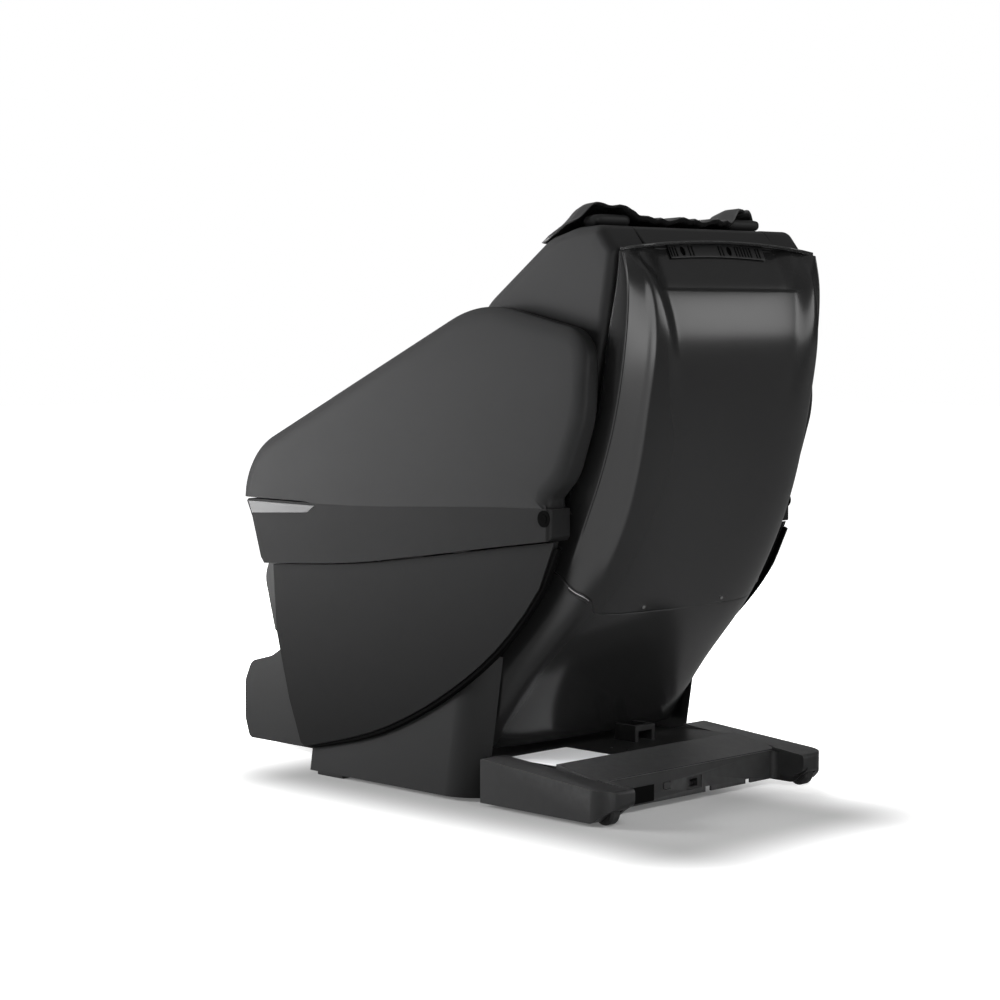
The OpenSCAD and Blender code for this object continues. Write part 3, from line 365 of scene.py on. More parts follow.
satin = dict(spread=0.05, grain=pebbleGroup, grainSize=520.0, bump=0.05, wearAndHighlight=0.1, mottle=2.0, specular=0.12)
sidePlastic = dict(spread=0.06, grain=grainGroup, bump=0.10, wearAndHighlight=0.2, mottle=2.5)
# basePlastic's large edge amount paints a highlight along the deck's and fascia's bevels, on top of the rubbed edges
basePlastic = dict(spread=0.08, grain=grainGroup, grainSize=1100.0, bump=0.10, wearAndHighlight=1.1, mottle=4.0, specular=0.25)
padding = dict(spread=0.10, grain=pebbleGroup, grainSize=430.0, wearAndHighlight=0.2, mottle=9.0)
looks = dict(  # slot, shade, roughness, the rest
    # armSatin: painted shade, the arm shell darker below 0.86 m and darkest below 0.60 m
    armSatin=("side_plastic", 0.030, 0.46, dict(satin, fade=("Z", 0.60, 0.86, 0.80))),
    # shadedBandSatin and shadedSideSatin are the arm's satin plastic painted darker, as painted shade carrying the
    # light's fall-off down the side; shadedSideSatin is painted darker still from 0.5 m down to 0.1 m
    shadedBandSatin=("side_plastic", 0.0135, 0.46, satin),
    shadedSideSatin=("side_plastic", 0.0115, 0.46, dict(sidePlastic, specular=0.12, fade=("Z", 0.1, 0.50, 0.42))),
    skirtSatin=("side_plastic", 0.016, 0.44, dict(sidePlastic, specular=0.2)),
    baseSatin=("base_plastic", 0.022, 0.42, basePlastic),
    # deckSatinShadedTray: painted shade, the tray and bracket ahead of y 0.40 m painted darker where the back cover
    # shades them
    deckSatinShadedTray=("base_plastic", 0.026, 0.42, dict(basePlastic, fade=("Y", 0.4005, 0.4025, 0.3))),
    deepBlack=("black_plastic", 0.002, 0.6, dict(spread=0.05, grain=grainGroup, wearAndHighlight=0.02, specular=0.03)),
    coverGloss=("gloss_cover", 0.018, 0.22, dict(spread=0.05, roughSpread=0.03, grain=grainGroup, grainSize=420.0,
                                                 bump=0.006, wearAndHighlight=0.15, mottle=2.0)),
    leather=("leather_dark", 0.036, 0.46, dict(spread=0.07, grain=pebbleGroup, grainSize=480.0, bump=0.12,
                                               wearAndHighlight=0.15, mottle=7.0, specular=0.14)),
    flapLeather=("leather_pad", 0.030, 0.32, dict(padding, bump=0.14, specular=0.8)),
    padLeather=("leather_pad", 0.028, 0.50, dict(padding, bump=0.16, specular=0.22)),
    # shadedCapLeather: the wings' leather painted darker, as painted shade on the top cap
    shadedCapLeather=("leather_dark", 0.014, 0.42, dict(spread=0.08, grain=pebbleGroup, grainSize=480.0, bump=0.14,
                                                  wearAndHighlight=0.2, mottle=7.0, specular=0.3)),
    legGloss=("leg_gloss", 0.009, 0.36, dict(spread=0.06, grain=grainGroup, grainSize=500.0, bump=0.01, wearAndHighlight=0.2,
                                             specular=0.35)),
    silver=("silver_trim", 0.085, 0.34, dict(spread=0.05, metal=0.25, grain=grainGroup, grainSize=2500.0, bump=0.02,
                                             wearAndHighlight=0.1)),
    steel=("bright_steel", 0.46, 0.36, dict(spread=0.08, metal=1.0, roughSpread=0.12, wearAndHighlight=0.3, mottle=30.0)),
    framePaint=("frame_steel", 0.05, 0.42, dict(spread=0.1, grain=grainGroup, grainSize=700.0, bump=0.1, wearAndHighlight=0.6,
                                                mottle=12.0)),
    palePlate=("pale_plate", 0.80, 0.45, dict(spread=0.04, grain=grainGroup, grainSize=1400.0, wearAndHighlight=0.1)),
    blackPlastic=("black_plastic", 0.010, 0.45, dict(spread=0.1, grain=grainGroup, bump=0.1, wearAndHighlight=0.2)),
    ventPlastic=("black_plastic", 0.032, 0.4, dict(spread=0.05, grain=grainGroup, bump=0.08, wearAndHighlight=0.2,
                                                   specular=0.4)),
    motorBlack=("motor_dark", 0.02, 0.5, dict(spread=0.1, grain=grainGroup, grainSize=900.0, bump=0.15, wearAndHighlight=0.3)),
    rubber=("rubber_black", 0.013, 0.75, dict(spread=0.15, grain=grainGroup, grainSize=700.0, bump=0.25, wearAndHighlight=0.1,
                                              mottle=25.0)),
    paleButton=("button_pale", (0.60, 0.60, 0.60), 0.4, dict(spread=0.03, wearAndHighlight=0.05)),
    redButton=("button_red", (0.42, 0.03, 0.025), 0.4, dict(spread=0.05, wearAndHighlight=0.05)),
)
finishes, slots = {}, {}
for finish, (slot, shade, rough, rest) in looks.items():
    if not isinstance(shade, tuple):  # a grey with a trace of blue
        shade = (shade, shade, shade * 1.015)
    finishes[finish], slots[finish] = makeFinish(finish, shade, rough, **rest), slot
print("finishes ready")


# studio

studio = dict(
    floorSize=40.0,
    # shade: a shadow painted on the floor, darker colour and glow inside a rounded box (middle, half) under and
    # behind the chair, fading out over fade metres
    shade=dict(middle=(0.15, 0.28, 0), half=(0.21, 0.52, 1), fade=0.38, diffuse=(0.26, 0.8), glow=(0.12, 1.0)),
    # mirror: a painted reflection, the floor as seen in reflections glowing in a patch beside the chair (across,
    # along) and dark elsewhere
    mirror=dict(across=(0.30, 0.90), along=(0.05, 0.65), floor=(0.24, 1.15)),
    ambient=0.20,
    mirrored=0.28,
    farSide=(-0.97, -0.7, 0.05),  # the mirrored surroundings darken away from the camera
    lamps=[  # name, place, aim, width, height, spread, watts, mirrored, lighting
        ("overhead", (0.0, 0.0, 4.4), (0.0, 0.1, 0.4), 2.4, 2.4, 180, 10, True, True),
        ("side", (2.3, -2.7, 1.25), (0.3, -0.2, 0.75), 1.6, 1.5, 180, 300, False, True),
        ("rear", (-3.7, 4.9, 2.25), (0.0, 0.6, 0.95), 4.0, 1.7, 180, 60, True, True),
        ("nearCamera", (1.8, 3.75, 1.30), (0.28, 0.6, 0.95), 2.2, 2.5, 180, 58, True, False),
        ("fill", (-3.0, -2.6, 2.0), (0.0, -0.1, 0.6), 2.0, 1.8, 180, 230, False, True),
        ("glint", (2.5, -3.5, 0.50), (0.3, -0.4, 0.7), 0.9, 0.9, 180, 34, True, False),
        ("lowRear", (0.25, 1.25, 0.95), (0.1, 0.5, 0.05), 0.5, 0.5, 60, 1.6, False, True),
    ],
)


def ramp(tree, value, low, high, first=0.0, last=1.0):
    return node(tree, "MapRange", interpolation_type="SMOOTHSTEP", Value=value, From_Min=low, From_Max=high,
                To_Min=first, To_Max=last).outputs["Result"]


def mixShaders(tree, factor, first, second):
    made = node(tree, "MixShader", Fac=factor)
    for number, shader in ((1, first), (2, second)):
        tree.links.new(shader.outputs[0], made.inputs[number])
    return made


def inMirror(tree, path):  # a mask of the rays that see a thing reflected or through glass
    return maths(tree, "MAXIMUM", path.outputs["Is Glossy Ray"], path.outputs["Is Transmission Ray"])


def makeFloor():
    clearSelection()
    bpy.ops.mesh.primitive_plane_add(size=studio["floorSize"], location=(0, 0, 0))
    floor = bpy.context.object
    floor.name = "floor"
    paint = bpy.data.materials.new("floorPaint")
    paint.use_nodes = True
    tree = paint.node_tree
    tree.nodes.clear()
    spot = node(tree, "TexCoord").outputs["Object"]
    shade, mirror = studio["shade"], studio["mirror"]
    offset = spot  # becomes the distance outside a rounded box under the chair, where a shadow is painted on the floor
    for operation, given in (("SUBTRACT", shade["middle"]), ("ABSOLUTE", None), ("SUBTRACT", shade["half"]),
                             ("MAXIMUM", (0, 0, 0)), ("LENGTH", None)):
        step = node(tree, "VectorMath", operation=operation)
        tree.links.new(offset, step.inputs[0])
        if given:
            step.inputs[1].default_value = given
        offset = step.outputs["Value" if operation == "LENGTH" else "Vector"]
    path = node(tree, "LightPath")
    # painted shadow: inside the box the floor's colour and its glow for the camera are darker, on top of the lamps'
    # own shadows
    diffuse = node(tree, "BsdfDiffuse", Color=ramp(tree, offset, 0, shade["fade"], *shade["diffuse"]))
    bright = ramp(tree, offset, 0, shade["fade"], *shade["glow"])
    glow = node(tree, "Emission", Strength=maths(tree, "MULTIPLY", bright, path.outputs["Is Camera Ray"]))
    both = node(tree, "AddShader")
    tree.links.new(diffuse.outputs[0], both.inputs[0])
    tree.links.new(glow.outputs[0], both.inputs[1])
    # painted reflection: in reflections the floor glows in a patch beside the chair and is dark elsewhere
    axes = node(tree, "SeparateXYZ", Vector=spot)
    beside = maths(tree, "MULTIPLY", ramp(tree, axes.outputs["X"], *mirror["across"]),
                   ramp(tree, axes.outputs["Y"], *mirror["along"]))
    reflected = node(tree, "Emission", Strength=ramp(tree, beside, 0, 1, *mirror["floor"]))
    node(tree, "OutputMaterial", Surface=mixShaders(tree, inMirror(tree, path), both, reflected).outputs[0])
    floor.data.materials.append(paint)


def makeWorld():
    world = bpy.data.worlds.new("studioWorld")
    bpy.context.scene.world = world
    world.use_nodes = True
    tree = world.node_tree
    tree.nodes.clear()
    axes = node(tree, "SeparateXYZ", Vector=node(tree, "TexCoord").outputs["Generated"])
    farDark = ramp(tree, axes.outputs["X"], *studio["farSide"], studio["mirrored"])
    light, mirror, seen = [node(tree, "Background", Strength=strength, Color=(1, 1, 1, 1))
                           for strength in (studio["ambient"], farDark, 1.0)]
    path = node(tree, "LightPath")
    unseen = mixShaders(tree, inMirror(tree, path), light, mirror)
    node(tree, "OutputWorld", Surface=mixShaders(tree, path.outputs["Is Camera Ray"], unseen, seen).outputs[0])


def makeLamps():
    for name, spot, aim, width, height, spread, watts, reflected, lighting in studio["lamps"]:
        lamp = bpy.data.lights.new(name, "AREA")
        lamp.shape = "RECTANGLE"
        lamp.size, lamp.size_y, lamp.energy = width, height, watts
        lamp.spread = math.radians(spread)
        holder = bpy.data.objects.new(name, lamp)
        bpy.context.scene.collection.objects.link(holder)
        holder.location = spot
        holder.visible_camera = False
        holder.visible_diffuse, holder.visible_glossy = lighting, reflected
        holder.rotation_euler = (Vector(aim) - Vector(spot)).to_track_quat("-Z", "Y").to_euler()


makeFloor()
makeWorld()
makeLamps()
print("studio ready")


# arms and wings

def densified(line, step):  # no side longer than the step
    line = [Vector(p) for p in line]
    full = []
    for a, b in zip(line, line[1:] + line[:1]):
        parts = max(1, math.ceil((b - a).length / step))
        full += [a.lerp(b, k / parts) for k in range(parts)]
    return full


def counterClockwise(line):
    area = sum(a[0] * b[1] - b[0] * a[1] for a, b in zip(line, line[1:] + line[:1]))
    return line if area > 0 else line[::-1]


def drawnIn(line, distance, step=2.0):  # moved inwards in small steps, eased where the points crowd together
    points = np.array([tuple(p) for p in line], float)
    rounds = max(1, math.ceil(distance / step))
    for k in range(rounds):
        along = np.roll(points, -1, 0) - np.roll(points, 1, 0)
        along /= np.maximum(np.linalg.norm(along, axis=1, keepdims=True), 1e-6)
        points += distance / rounds * np.stack([-along[:, 1], along[:, 0]], axis=1)
        after, before = np.roll(points, -1, 0), np.roll(points, 1, 0)
        crowded = np.clip(1 - np.linalg.norm(after - before, axis=1) / 14, 0, 1)[:, None] * 0.7
        points = points * (1 - crowded) + (after + before) / 2 * crowded
    return points


def padRows(line, inner, outer, radius, wide=1.0, leanOf=None, foot=0, footAt=None, steps=8, middle=None, rings=5,
            innerRadius=None):  # a board with rounded edges; its first foot points stay on the line footAt
    quarter = [math.radians(90 * k / steps) for k in range(steps + 1)]
    small = innerRadius or radius
    ends = [(inner + small * (1 - math.sin(a)), small * (1 - math.cos(a))) for a in reversed(quarter)]
    ends += [(outer - radius * (1 - math.sin(a)), radius * (1 - math.cos(a))) for a in quarter]
    rows = []
    for x, inset in ends:
        row = []
        for i, (y, z) in enumerate(drawnIn(line, inset * wide)):
            if i < foot:
                y = min(max(line[i][0], line[0][0] + inset * wide), line[foot - 1][0] - inset * wide)
                z = footAt(y)
            row.append((x, y, z))
        rows.append(row)
    inside = [[(x, mix(middle[0], y, k / (rings + 1)), mix(middle[1], z, k / (rings + 1)))
               for x, y, z in rows[0]] for k in range(1, rings + 1)]
    outside = [[(outer, y, z) for x, y, z in row] for row in inside[::-1]]
    rows = inside + rows + outside
    if leanOf:
        rows = [[(x - leanOf(z) * (x - inner) / (outer - inner), y, z) for x, y, z in row] for row in rows]
    return rows


def mirrored(rows):
    return [[(-x, y, z) for x, y, z in row] for row in rows]


arm = dict(front=-464, rear=464, foot=588, rise=24, riseFrom=-200, riseTo=500, inner=306, outer=371.3, top=1000,
           lean=25.3, leanPower=1.25, radius=20, wide=1.8, overhang=2.4, lap=0.9, clearFrom=-205, clearOver=70,
           middle=(190, 800))
armLine = [(464, 600, 0), (466, 630, 20), (508, 672, 110), (549, 790, 200), (552, 950, 70), (250, 1014, 270),
           (arm["front"], 684, 150), (arm["front"], 600, 0)]  # over the top, from the rear of the foot


def armFoot(y):  # the shell stands clear of the band at its front end
    seam = arm["foot"] + arm["rise"] * smooth((y - arm["riseFrom"]) / (arm["riseTo"] - arm["riseFrom"]))
    return seam - arm["lap"] + (arm["overhang"] + arm["lap"]) * smooth((arm["clearFrom"] - y) / arm["clearOver"])


def armRows():
    footLine = [Vector((y, armFoot(y))) for y in np.linspace(arm["front"], arm["rear"], 56)]
    over = [p for p in densified(rounded(armLine, 14), 18)[1:] if p[1] > 604 or p[0] > arm["rear"] - 1]
    leanOf = lambda z: arm["lean"] * max(0, (z - arm["foot"]) / (arm["top"] - arm["foot"])) ** arm["leanPower"]
    return padRows(footLine + over, arm["inner"], arm["outer"], arm["radius"], arm["wide"], leanOf, len(footLine),
                   armFoot, middle=arm["middle"])


wing = dict(inner=200.3, outer=296, radius=22, innerRadius=3, middle=(400, 860))
wingLine = [(166, 478, 20), (300, 476, 60), (422, 600, 120), (508, 790, 250), (548, 960, 300), (571, 1108, 26),
            (531, 1158, 26), (463, 1154, 90), (392, 1134, 90), (222, 1010, 130), (148, 900, 120), (142, 700, 200)]


def wingRows():
    line = counterClockwise(densified(rounded(wingLine, 10), 12))
    return padRows(line, wing["inner"], wing["outer"], wing["radius"], middle=wing["middle"],
                   innerRadius=wing["innerRadius"])


paintedShadowStrip = dict(inner=344.4, outer=354, inside=0.6, outside=9.5, chamfer=3, taper=4, steps=61)
panelArc = [(-278, 60), (-61, 113.1), (92, 177.8), (239, 265.2), (338, 344.7), (430, 449.1), (474, 536)]


def paintedShadowStripRows():  # a dark strip that closes the gap beside the side panel's round edge: a painted shadow, standing in for the gap's shade
    last, chamfer = paintedShadowStrip["steps"] - 1, paintedShadowStrip["chamfer"]
    line = [Vector((y, curveAt(panelArc, y))) for y in np.linspace(panelArc[0][0], panelArc[-1][0], last + 1)]
    rows = []
    for k, point in enumerate(line):
        along = (line[min(k + 1, last)] - line[max(k - 1, 0)]).normalized()
        out = Vector((along.y, -along.x))
        width = paintedShadowStrip["outside"] * min(1, (k + 1) / paintedShadowStrip["taper"])
        near, far = point - paintedShadowStrip["inside"] * out, point + width * out
        rows.append([(paintedShadowStrip["inner"], near.x, near.y), (paintedShadowStrip["inner"], far.x, far.y),
                     (paintedShadowStrip["outer"] - chamfer, far.x, far.y), (paintedShadowStrip["outer"], *(far - out * chamfer)),
                     (paintedShadowStrip["outer"], near.x, near.y)])
    return rows


panelCorner = dict(behind=0.410, above=0.528, start=0.397, reach=0.077, lift=0.0118)  # metres
capChange = dict(middle=(0.458, 0.592), times=1.3, out=0.0033)  # metres


for side, turn in (("left", lambda rows: rows), ("right", mirrored)):
    # a painted shadow: a black strip along each side panel's round edge
    place(wrapped("paintedShadowStrip" + side.title(), turn(paintedShadowStripRows())), "base", "deepBlack", angle=40)
    shell = wrapped("armShell" + side.title(), turn(armRows()))
    place(shell, "base", "armSatin", "arm_shell_" + side, angle=50)
    flank = wrapped("wing" + side.title(), turn(wingRows()))
    place(flank, "backrest", "leather", "wing_" + side, angle=50)
    softened("arm_band_" + side, "armBand" + side.title(), "shadedBandSatin", 0.6, 2)
    panel = softened("side_panel_" + side, "sidePanel" + side.title(), "shadedSideSatin", 1.6, 3)
    for point in panel.data.vertices:  # its rear corner is drawn up under the band
        if point.co.y > panelCorner["behind"] and point.co.z > panelCorner["above"]:
            point.co.z += panelCorner["lift"] * (point.co.y - panelCorner["start"]) / panelCorner["reach"]
    softened("skirt_" + side, "skirt" + side.title(), "skirtSatin", 1.5, 3)
softened("arm_trims", "armTrims", "silver", 0.5, 2)
caps = softened("arm_caps", "armCaps", "deepBlack", 0.5, 2)
for point in caps.data.vertices:  # each stands over the edge of its hole
    y, z = capChange["middle"]
    point.co.y, point.co.z = (y + (point.co.y - y) * capChange["times"], z + (point.co.z - z) * capChange["times"])
    point.co.x += math.copysign(capChange["out"], point.co.x)
print("arms and wings ready")


# gloss covers of the back

cover = dict(half=299, low=104, rim=1125, drop=17, dropAt=284, wall=3, edge=1.3, seam=392, gap=1.5, power=4,
             columns=70, crowding=1.35)
crownLine = [(104, 240), (240, 350), (405, 495), (602, 590), (830, 638), (945, 652), (1040, 636), (1125, 590)]
edgeLine = [(104, 150), (210, 200), (400, 305), (590, 430), (775, 522), (950, 560), (1060, 583), (1125, 588)]
seamLine = [(0, 100), (0.12, 81), (0.28, 57), (0.475, 35), (0.56, 9), (0.7, 3), (1, 0)]
cheek = dict(parts=(0.1, 0.54), flat=0.85, turn=0.1, low=420, fade=200)
recess = dict(depth=15, low=740, high=1020, edge=52, easing=0.25, easeFrom=1080, easeOver=50,
              scoop=13, scoopZ=1031, scoopOver=6, scoopHalf=232, scoopEdge=60)
crestLine = [(700, 190), (860, 216), (926, 226), (1000, 240), (1040, 250), (1070, 266), (1100, 288), (1125, 300)]


def coverX(part, inset=0):
    return (cover["half"] - inset) * max(0.0, math.cos(math.pi / 2 * part)) ** (2 / cover["power"])


def recessAt(x, z):
    inside = smooth((curveAt(crestLine, max(z, crestLine[0][0])) - abs(x)) / recess["edge"])
    deep = recess["depth"] * smooth((z - recess["low"]) / (recess["high"] - recess["low"]))
    deep *= 1 - recess["easing"] * smooth((z - recess["easeFrom"]) / recess["easeOver"])
    scoop = recess["scoop"] * smooth((z - recess["scoopZ"]) / recess["scoopOver"])
    return inside * (deep + scoop * smooth((recess["scoopHalf"] - abs(x)) / recess["scoopEdge"]))


def shareAt(part):  # how far a point stands out from the side edge towards the middle's depth
    return max(0.0, math.sin(math.pi / 2 * part)) ** (2 / cover["power"])


def cheekShare(part):  # the cheek is a broad, nearly flat facet between two soft turns
    low, high = cheek["parts"]
    if not low < part < high:
        return shareAt(part)
    along = (coverX(low) - coverX(part)) / (coverX(low) - coverX(high))
    weight = cheek["flat"] * min(smooth((part - low) / cheek["turn"]), smooth((high - part) / cheek["turn"]))
    return mix(shareAt(part), mix(shareAt(low), shareAt(high), along), weight)


def coverY(x, part, z, inset=0):
    share = mix(shareAt(part), cheekShare(part), smooth((z - cheek["low"]) / cheek["fade"]))
    return mix(curveAt(edgeLine, z), curveAt(crownLine, z) - inset, share) - recessAt(x, z)


def rimDrop(x):
    return cover["drop"] * (x / cover["dropAt"]) ** 2


def seamAt(part):
    return cover["seam"] + curveAt(seamLine, part)


def partOf(x):
    return math.acos((min(abs(x), cover["half"]) / cover["half"]) ** (cover["power"] / 2)) / (math.pi / 2)


def rearFace(x, z):
    return coverY(x, partOf(x), z)


acrossHalf = [(k / cover["columns"]) ** cover["crowding"] for k in range(cover["columns"] + 1)]


def coverRow(heightAt, inset=0.0):
    half = []
    for part in acrossHalf:
        x = coverX(part, inset)
        z = heightAt(part, x)
        half.append((x, coverY(x, part, z, inset), z))
    return half + [(-x, y, z) for x, y, z in half[-2::-1]]


def makeCover(name, lowAt, highAt, shares):
    rows = [coverRow(lambda part, x: mix(lowAt(part, x), highAt(part, x), share)) for share in shares]
    shell = edited(gridPiece(name, rows), remove_doubles=dict(threshold=1e-5),
                   normals_make_consistent=dict(inside=False))
    if shell.data.polygons[len(shell.data.polygons) // 2].normal.y < 0:  # an open sheet may come out facing inwards
        edited(shell, flip_normals={})
    addModifier(shell, "SOLIDIFY", thickness=cover["wall"] * mm, offset=-1, use_even_offset=True)
    addModifier(shell, "BEVEL", width=cover["edge"] * mm, segments=3, limit_method="ANGLE",
                angle_limit=math.radians(60))
    return shell


upperShares = sorted(set(np.round(np.concatenate([  # more rows where the scoop and the rim turn
    np.linspace(0, 1, 130), np.linspace(0.862, 0.9, 26), np.linspace(0.945, 0.985, 26)]), 5)))
upper = makeCover("upperCover", lambda part, x: seamAt(part) + cover["gap"] / 2,
                  lambda part, x: cover["rim"] - rimDrop(x), upperShares)
place(upper, "backrest", "coverGloss", "upper_back_cover", angle=50)
lower = makeCover("lowerCover", lambda part, x: cover["low"], lambda part, x: seamAt(part) - cover["gap"] / 2,
                  np.linspace(0, 1, 71))
place(lower, "backrest", "coverGloss", "lower_back_cover", angle=50)
print("covers ready")

rim = dict(half=290, steps=81, front=577, sideFront=581, bend=1112, slope=0.98, back=589.4, thinner=0.7,
           thinFrom=245, profile=[(0, 0.4), (5.5, 0.4), (7.2, 1.3), (7.6, 2.3), (6.4, 3.1), (6.2, 3.7), (7.0, 4.3),
                                  (6.8, 5.4), (5.4, 6.2), (0, 6.3)])


def makeRim():  # a lip with a groove along its middle
    rows = []
    for x in np.linspace(-rim["half"], rim["half"], rim["steps"]):
        low = cover["rim"] - rimDrop(x)
        front = rim["front"] - (low - rim["bend"]) * rim["slope"] if low > rim["bend"] else rim["sideFront"]
        short = 1 - rim["thinner"] * smooth((abs(x) - rim["thinFrom"]) / (rim["half"] - rim["thinFrom"]))
        rows.append([(x, front if out == 0 else rim["back"] + out * short, low + up) for out, up in rim["profile"]])
    place(wrapped("coverRim", rows), "backrest", "coverGloss", "cover_rim",
          angle=50)


makeRim()

ventStrip = dict(half=144, height=26, lift=2.4, thick=1.8, edge=0.35, plateLift=0.6, plateThick=0.8, plateIn=1,
                 frame=3.2, cutAt=0.585, cutDepth=0.03,
                 slots=[140, 132, 124, 84, 74, -8, -18, -58, -67, -76, -85, -94, -103, -121, -130],
                 slotWidth=4.4, ovals=[104, -38], oval=(7.0, 9.2))


def onCover(name, xs, lowAt, highAt, lift, thick, lines=6):  # a thin closed plate that follows the cover
    rows = []
    for x in xs:
        heights = [mix(lowAt(x), highAt(x), k / lines) for k in range(lines + 1)]
        under = [(x, rearFace(x, z) + lift, z) for z in heights]
        rows.append(under + [(x, y + thick, z) for x, y, z in under[::-1]])
    return wrapped(name, rows)


louvre = dict(parts=(0.23, 0.46), proud=1.6, root=0.2,
              slats=[(-4.6, -3.2, "steel"), (-7.2, -6.0, "ventPlastic"), (-9.8, -8.6, "ventPlastic")])


def makeLouvres():
    for turn in (1, -1):
        for number, (low, high, finish) in enumerate(louvre["slats"]):
            rows = []
            for part in np.linspace(*louvre["parts"], 17):
                x, angle = coverX(part), math.pi / 2 * part
                out = Vector((math.cos(angle) ** 1.5, 1.6 * math.sin(angle) ** 1.5)).normalized()  # off the cover
                root, proud = louvre["root"], louvre["proud"]
                across = ((root, low), (proud, low), (proud + 0.3, (low + high) / 2), (proud, high), (root, high))
                rows.append([(turn * (x + lift * out.x), coverY(x, part, seamAt(part) + up) + lift * out.y,
                              seamAt(part) + up) for lift, up in across])
            slat = wrapped("louvre%d%s" % (number, "Left" if turn > 0 else "Right"), rows)
            place(slat, "backrest", finish, *(["side_louvres"] if number == 0 else []), angle=40)


def cutBy(piece, cutters):
    cutter = joined(cutters)
    addModifier(piece, "BOOLEAN", operation="DIFFERENCE", object=cutter, solver="EXACT")
    bpy.data.objects.remove(cutter)


def stripLow(x):
    return cover["rim"] - rimDrop(x) - ventStrip["height"]


def ovalCutter(x, z, wide, tall):
    clearSelection()
    bpy.ops.mesh.primitive_cylinder_add(vertices=24, radius=1, depth=ventStrip["cutDepth"],
                                        location=(x * mm, ventStrip["cutAt"], z * mm), rotation=(math.pi / 2, 0, 0))
    cutter = bpy.context.object
    cutter.scale = (wide * mm, tall * mm, 1)
    bpy.ops.object.transform_apply(location=False, rotation=True, scale=True)
    return cutter


def slotCutter(x, z, width, height):
    clearSelection()
    bpy.ops.mesh.primitive_cube_add(size=1, location=(x * mm, ventStrip["cutAt"], z * mm))
    cutter = bpy.context.object
    cutter.scale = (width * mm, ventStrip["cutDepth"], height * mm)
    bpy.ops.object.transform_apply(location=False, rotation=False, scale=True)
    return cutter


def makeVentStrip():
    half, frame, height = ventStrip["half"], ventStrip["frame"], ventStrip["height"]
    xs = np.linspace(-half, half, 97)
    strip = onCover("ventStrip", xs, stripLow, lambda x: stripLow(x) + height, ventStrip["lift"], ventStrip["thick"])
    cutters = [slotCutter(x, stripLow(x) + height / 2, ventStrip["slotWidth"], height - 2 * frame)
               for x in ventStrip["slots"]]
    cutters += [ovalCutter(x, stripLow(x) + height / 2, *ventStrip["oval"]) for x in ventStrip["ovals"]]
    cutBy(strip, cutters)
    addModifier(strip, "BEVEL", width=ventStrip["edge"] * mm, segments=2, limit_method="ANGLE",
                angle_limit=math.radians(50))
    place(strip, "backrest", "ventPlastic", "vent_strip", angle=30)
    inset = ventStrip["plateIn"]
    plate = onCover("ventPlate", xs, lambda x: stripLow(x) + inset, lambda x: stripLow(x) + height - inset,
                    ventStrip["plateLift"], ventStrip["plateThick"])
    place(plate, "backrest", "deepBlack", angle=30)


makeLouvres()
makeVentStrip()
print("vent strip ready")

# head pad

headPad = dict(steps=193, half=281, count=49, hump=29, humpAt=206, humpHalf=30, humpEdge=45, fold=3.2,
               foldHalf=150, thick=15, thinner=7, bead=1.2, sideFrom=178, sideOver=21, sweep=70,
               block=dict(ends=(147, 253), middle=(464, 1168), size=(22.5, 12), tilt=0.13))
padMiddle = [(350, 967), (368, 1019), (386, 1061), (400, 1082), (408, 1100), (421, 1139), (430, 1147), (463, 1157),
             (505, 1160)]
padSides = [(340, 1099.5), (352, 1108.5), (365, 1118), (378, 1127), (392, 1136), (410, 1142), (430, 1148),
            (463, 1157.5), (505, 1161)]
padOut = [(-0.95, 0.33), (-0.95, 0.33), (-0.93, 0.36), (-0.9, 0.45), (-0.8, 0.6), (-0.45, 0.9), (-0.2, 1), (0, 1),
          (0.35, 0.8)]


def alongPad(points, k):
    return [straightAt([(i, p[axis]) for i, p in enumerate(points)], k) for axis in (0, 1)]


def padLift(x, k):  # k runs from 0 at the front hem to 8 at the rear hem
    hump = headPad["hump"] * (1 - smooth((abs(abs(x) - headPad["humpAt"]) - headPad["humpHalf"])
                                         / headPad["humpEdge"]))
    wave = lambda turns, shift: math.sin(math.radians(x * turns + shift))
    ruffle = 3 + 3 * wave(3.4, 40) + 2.5 * wave(7.1, k * 30)
    fold = (1 - abs(wave(3.6, 20 + k * 17))) ** 2 + 0.7 * (1 - abs(wave(5.3, 110 - k * 24))) ** 2
    ruffle += headPad["fold"] * fold * (1 - 0.75 * smooth((abs(x) - headPad["foldHalf"]) / 60))
    return hump * smooth((k - 3) / 3) + ruffle * smooth((k - 4) / 4)


def padThick(x, k):  # thinner over the humps and towards the edges, which end in a bead
    thick = headPad["thick"] - headPad["thinner"] * smooth((abs(x) - 140) / 60) * smooth((k - 3) / 4)
    edge = min(headPad["half"] - abs(x), (8 - k) * 38)
    return thick * (1 - 0.55 * smooth((abs(x) - 262) / 27)) + headPad["bead"] * math.exp(-((edge - 4) / 3) ** 2)


def padRow(x):
    share = smooth((abs(x) - headPad["sideFrom"]) / headPad["sideOver"])
    lower, upper = [], []
    for k in np.linspace(0, 8, headPad["count"]):
        back = 2.4 * smooth((abs(x) - 205) / 60)
        middle, sideways = alongPad(padMiddle, k), alongPad(padSides, k + back * (1 - k / 8))
        y, z = [mix(a, b, share) for a, b in zip(middle, sideways)]
        y -= headPad["sweep"] * (abs(x) / 290) ** 3 * (k / 8) ** 3
        z += padLift(x, k) + (k == 0)
        out, thick = alongPad(padOut, k), padThick(x, k)
        lower.append((x, y - 0.8, z + 0.8))
        upper.append((x, y + out[0] * thick, z + out[1] * thick))
    return lower + upper[::-1]


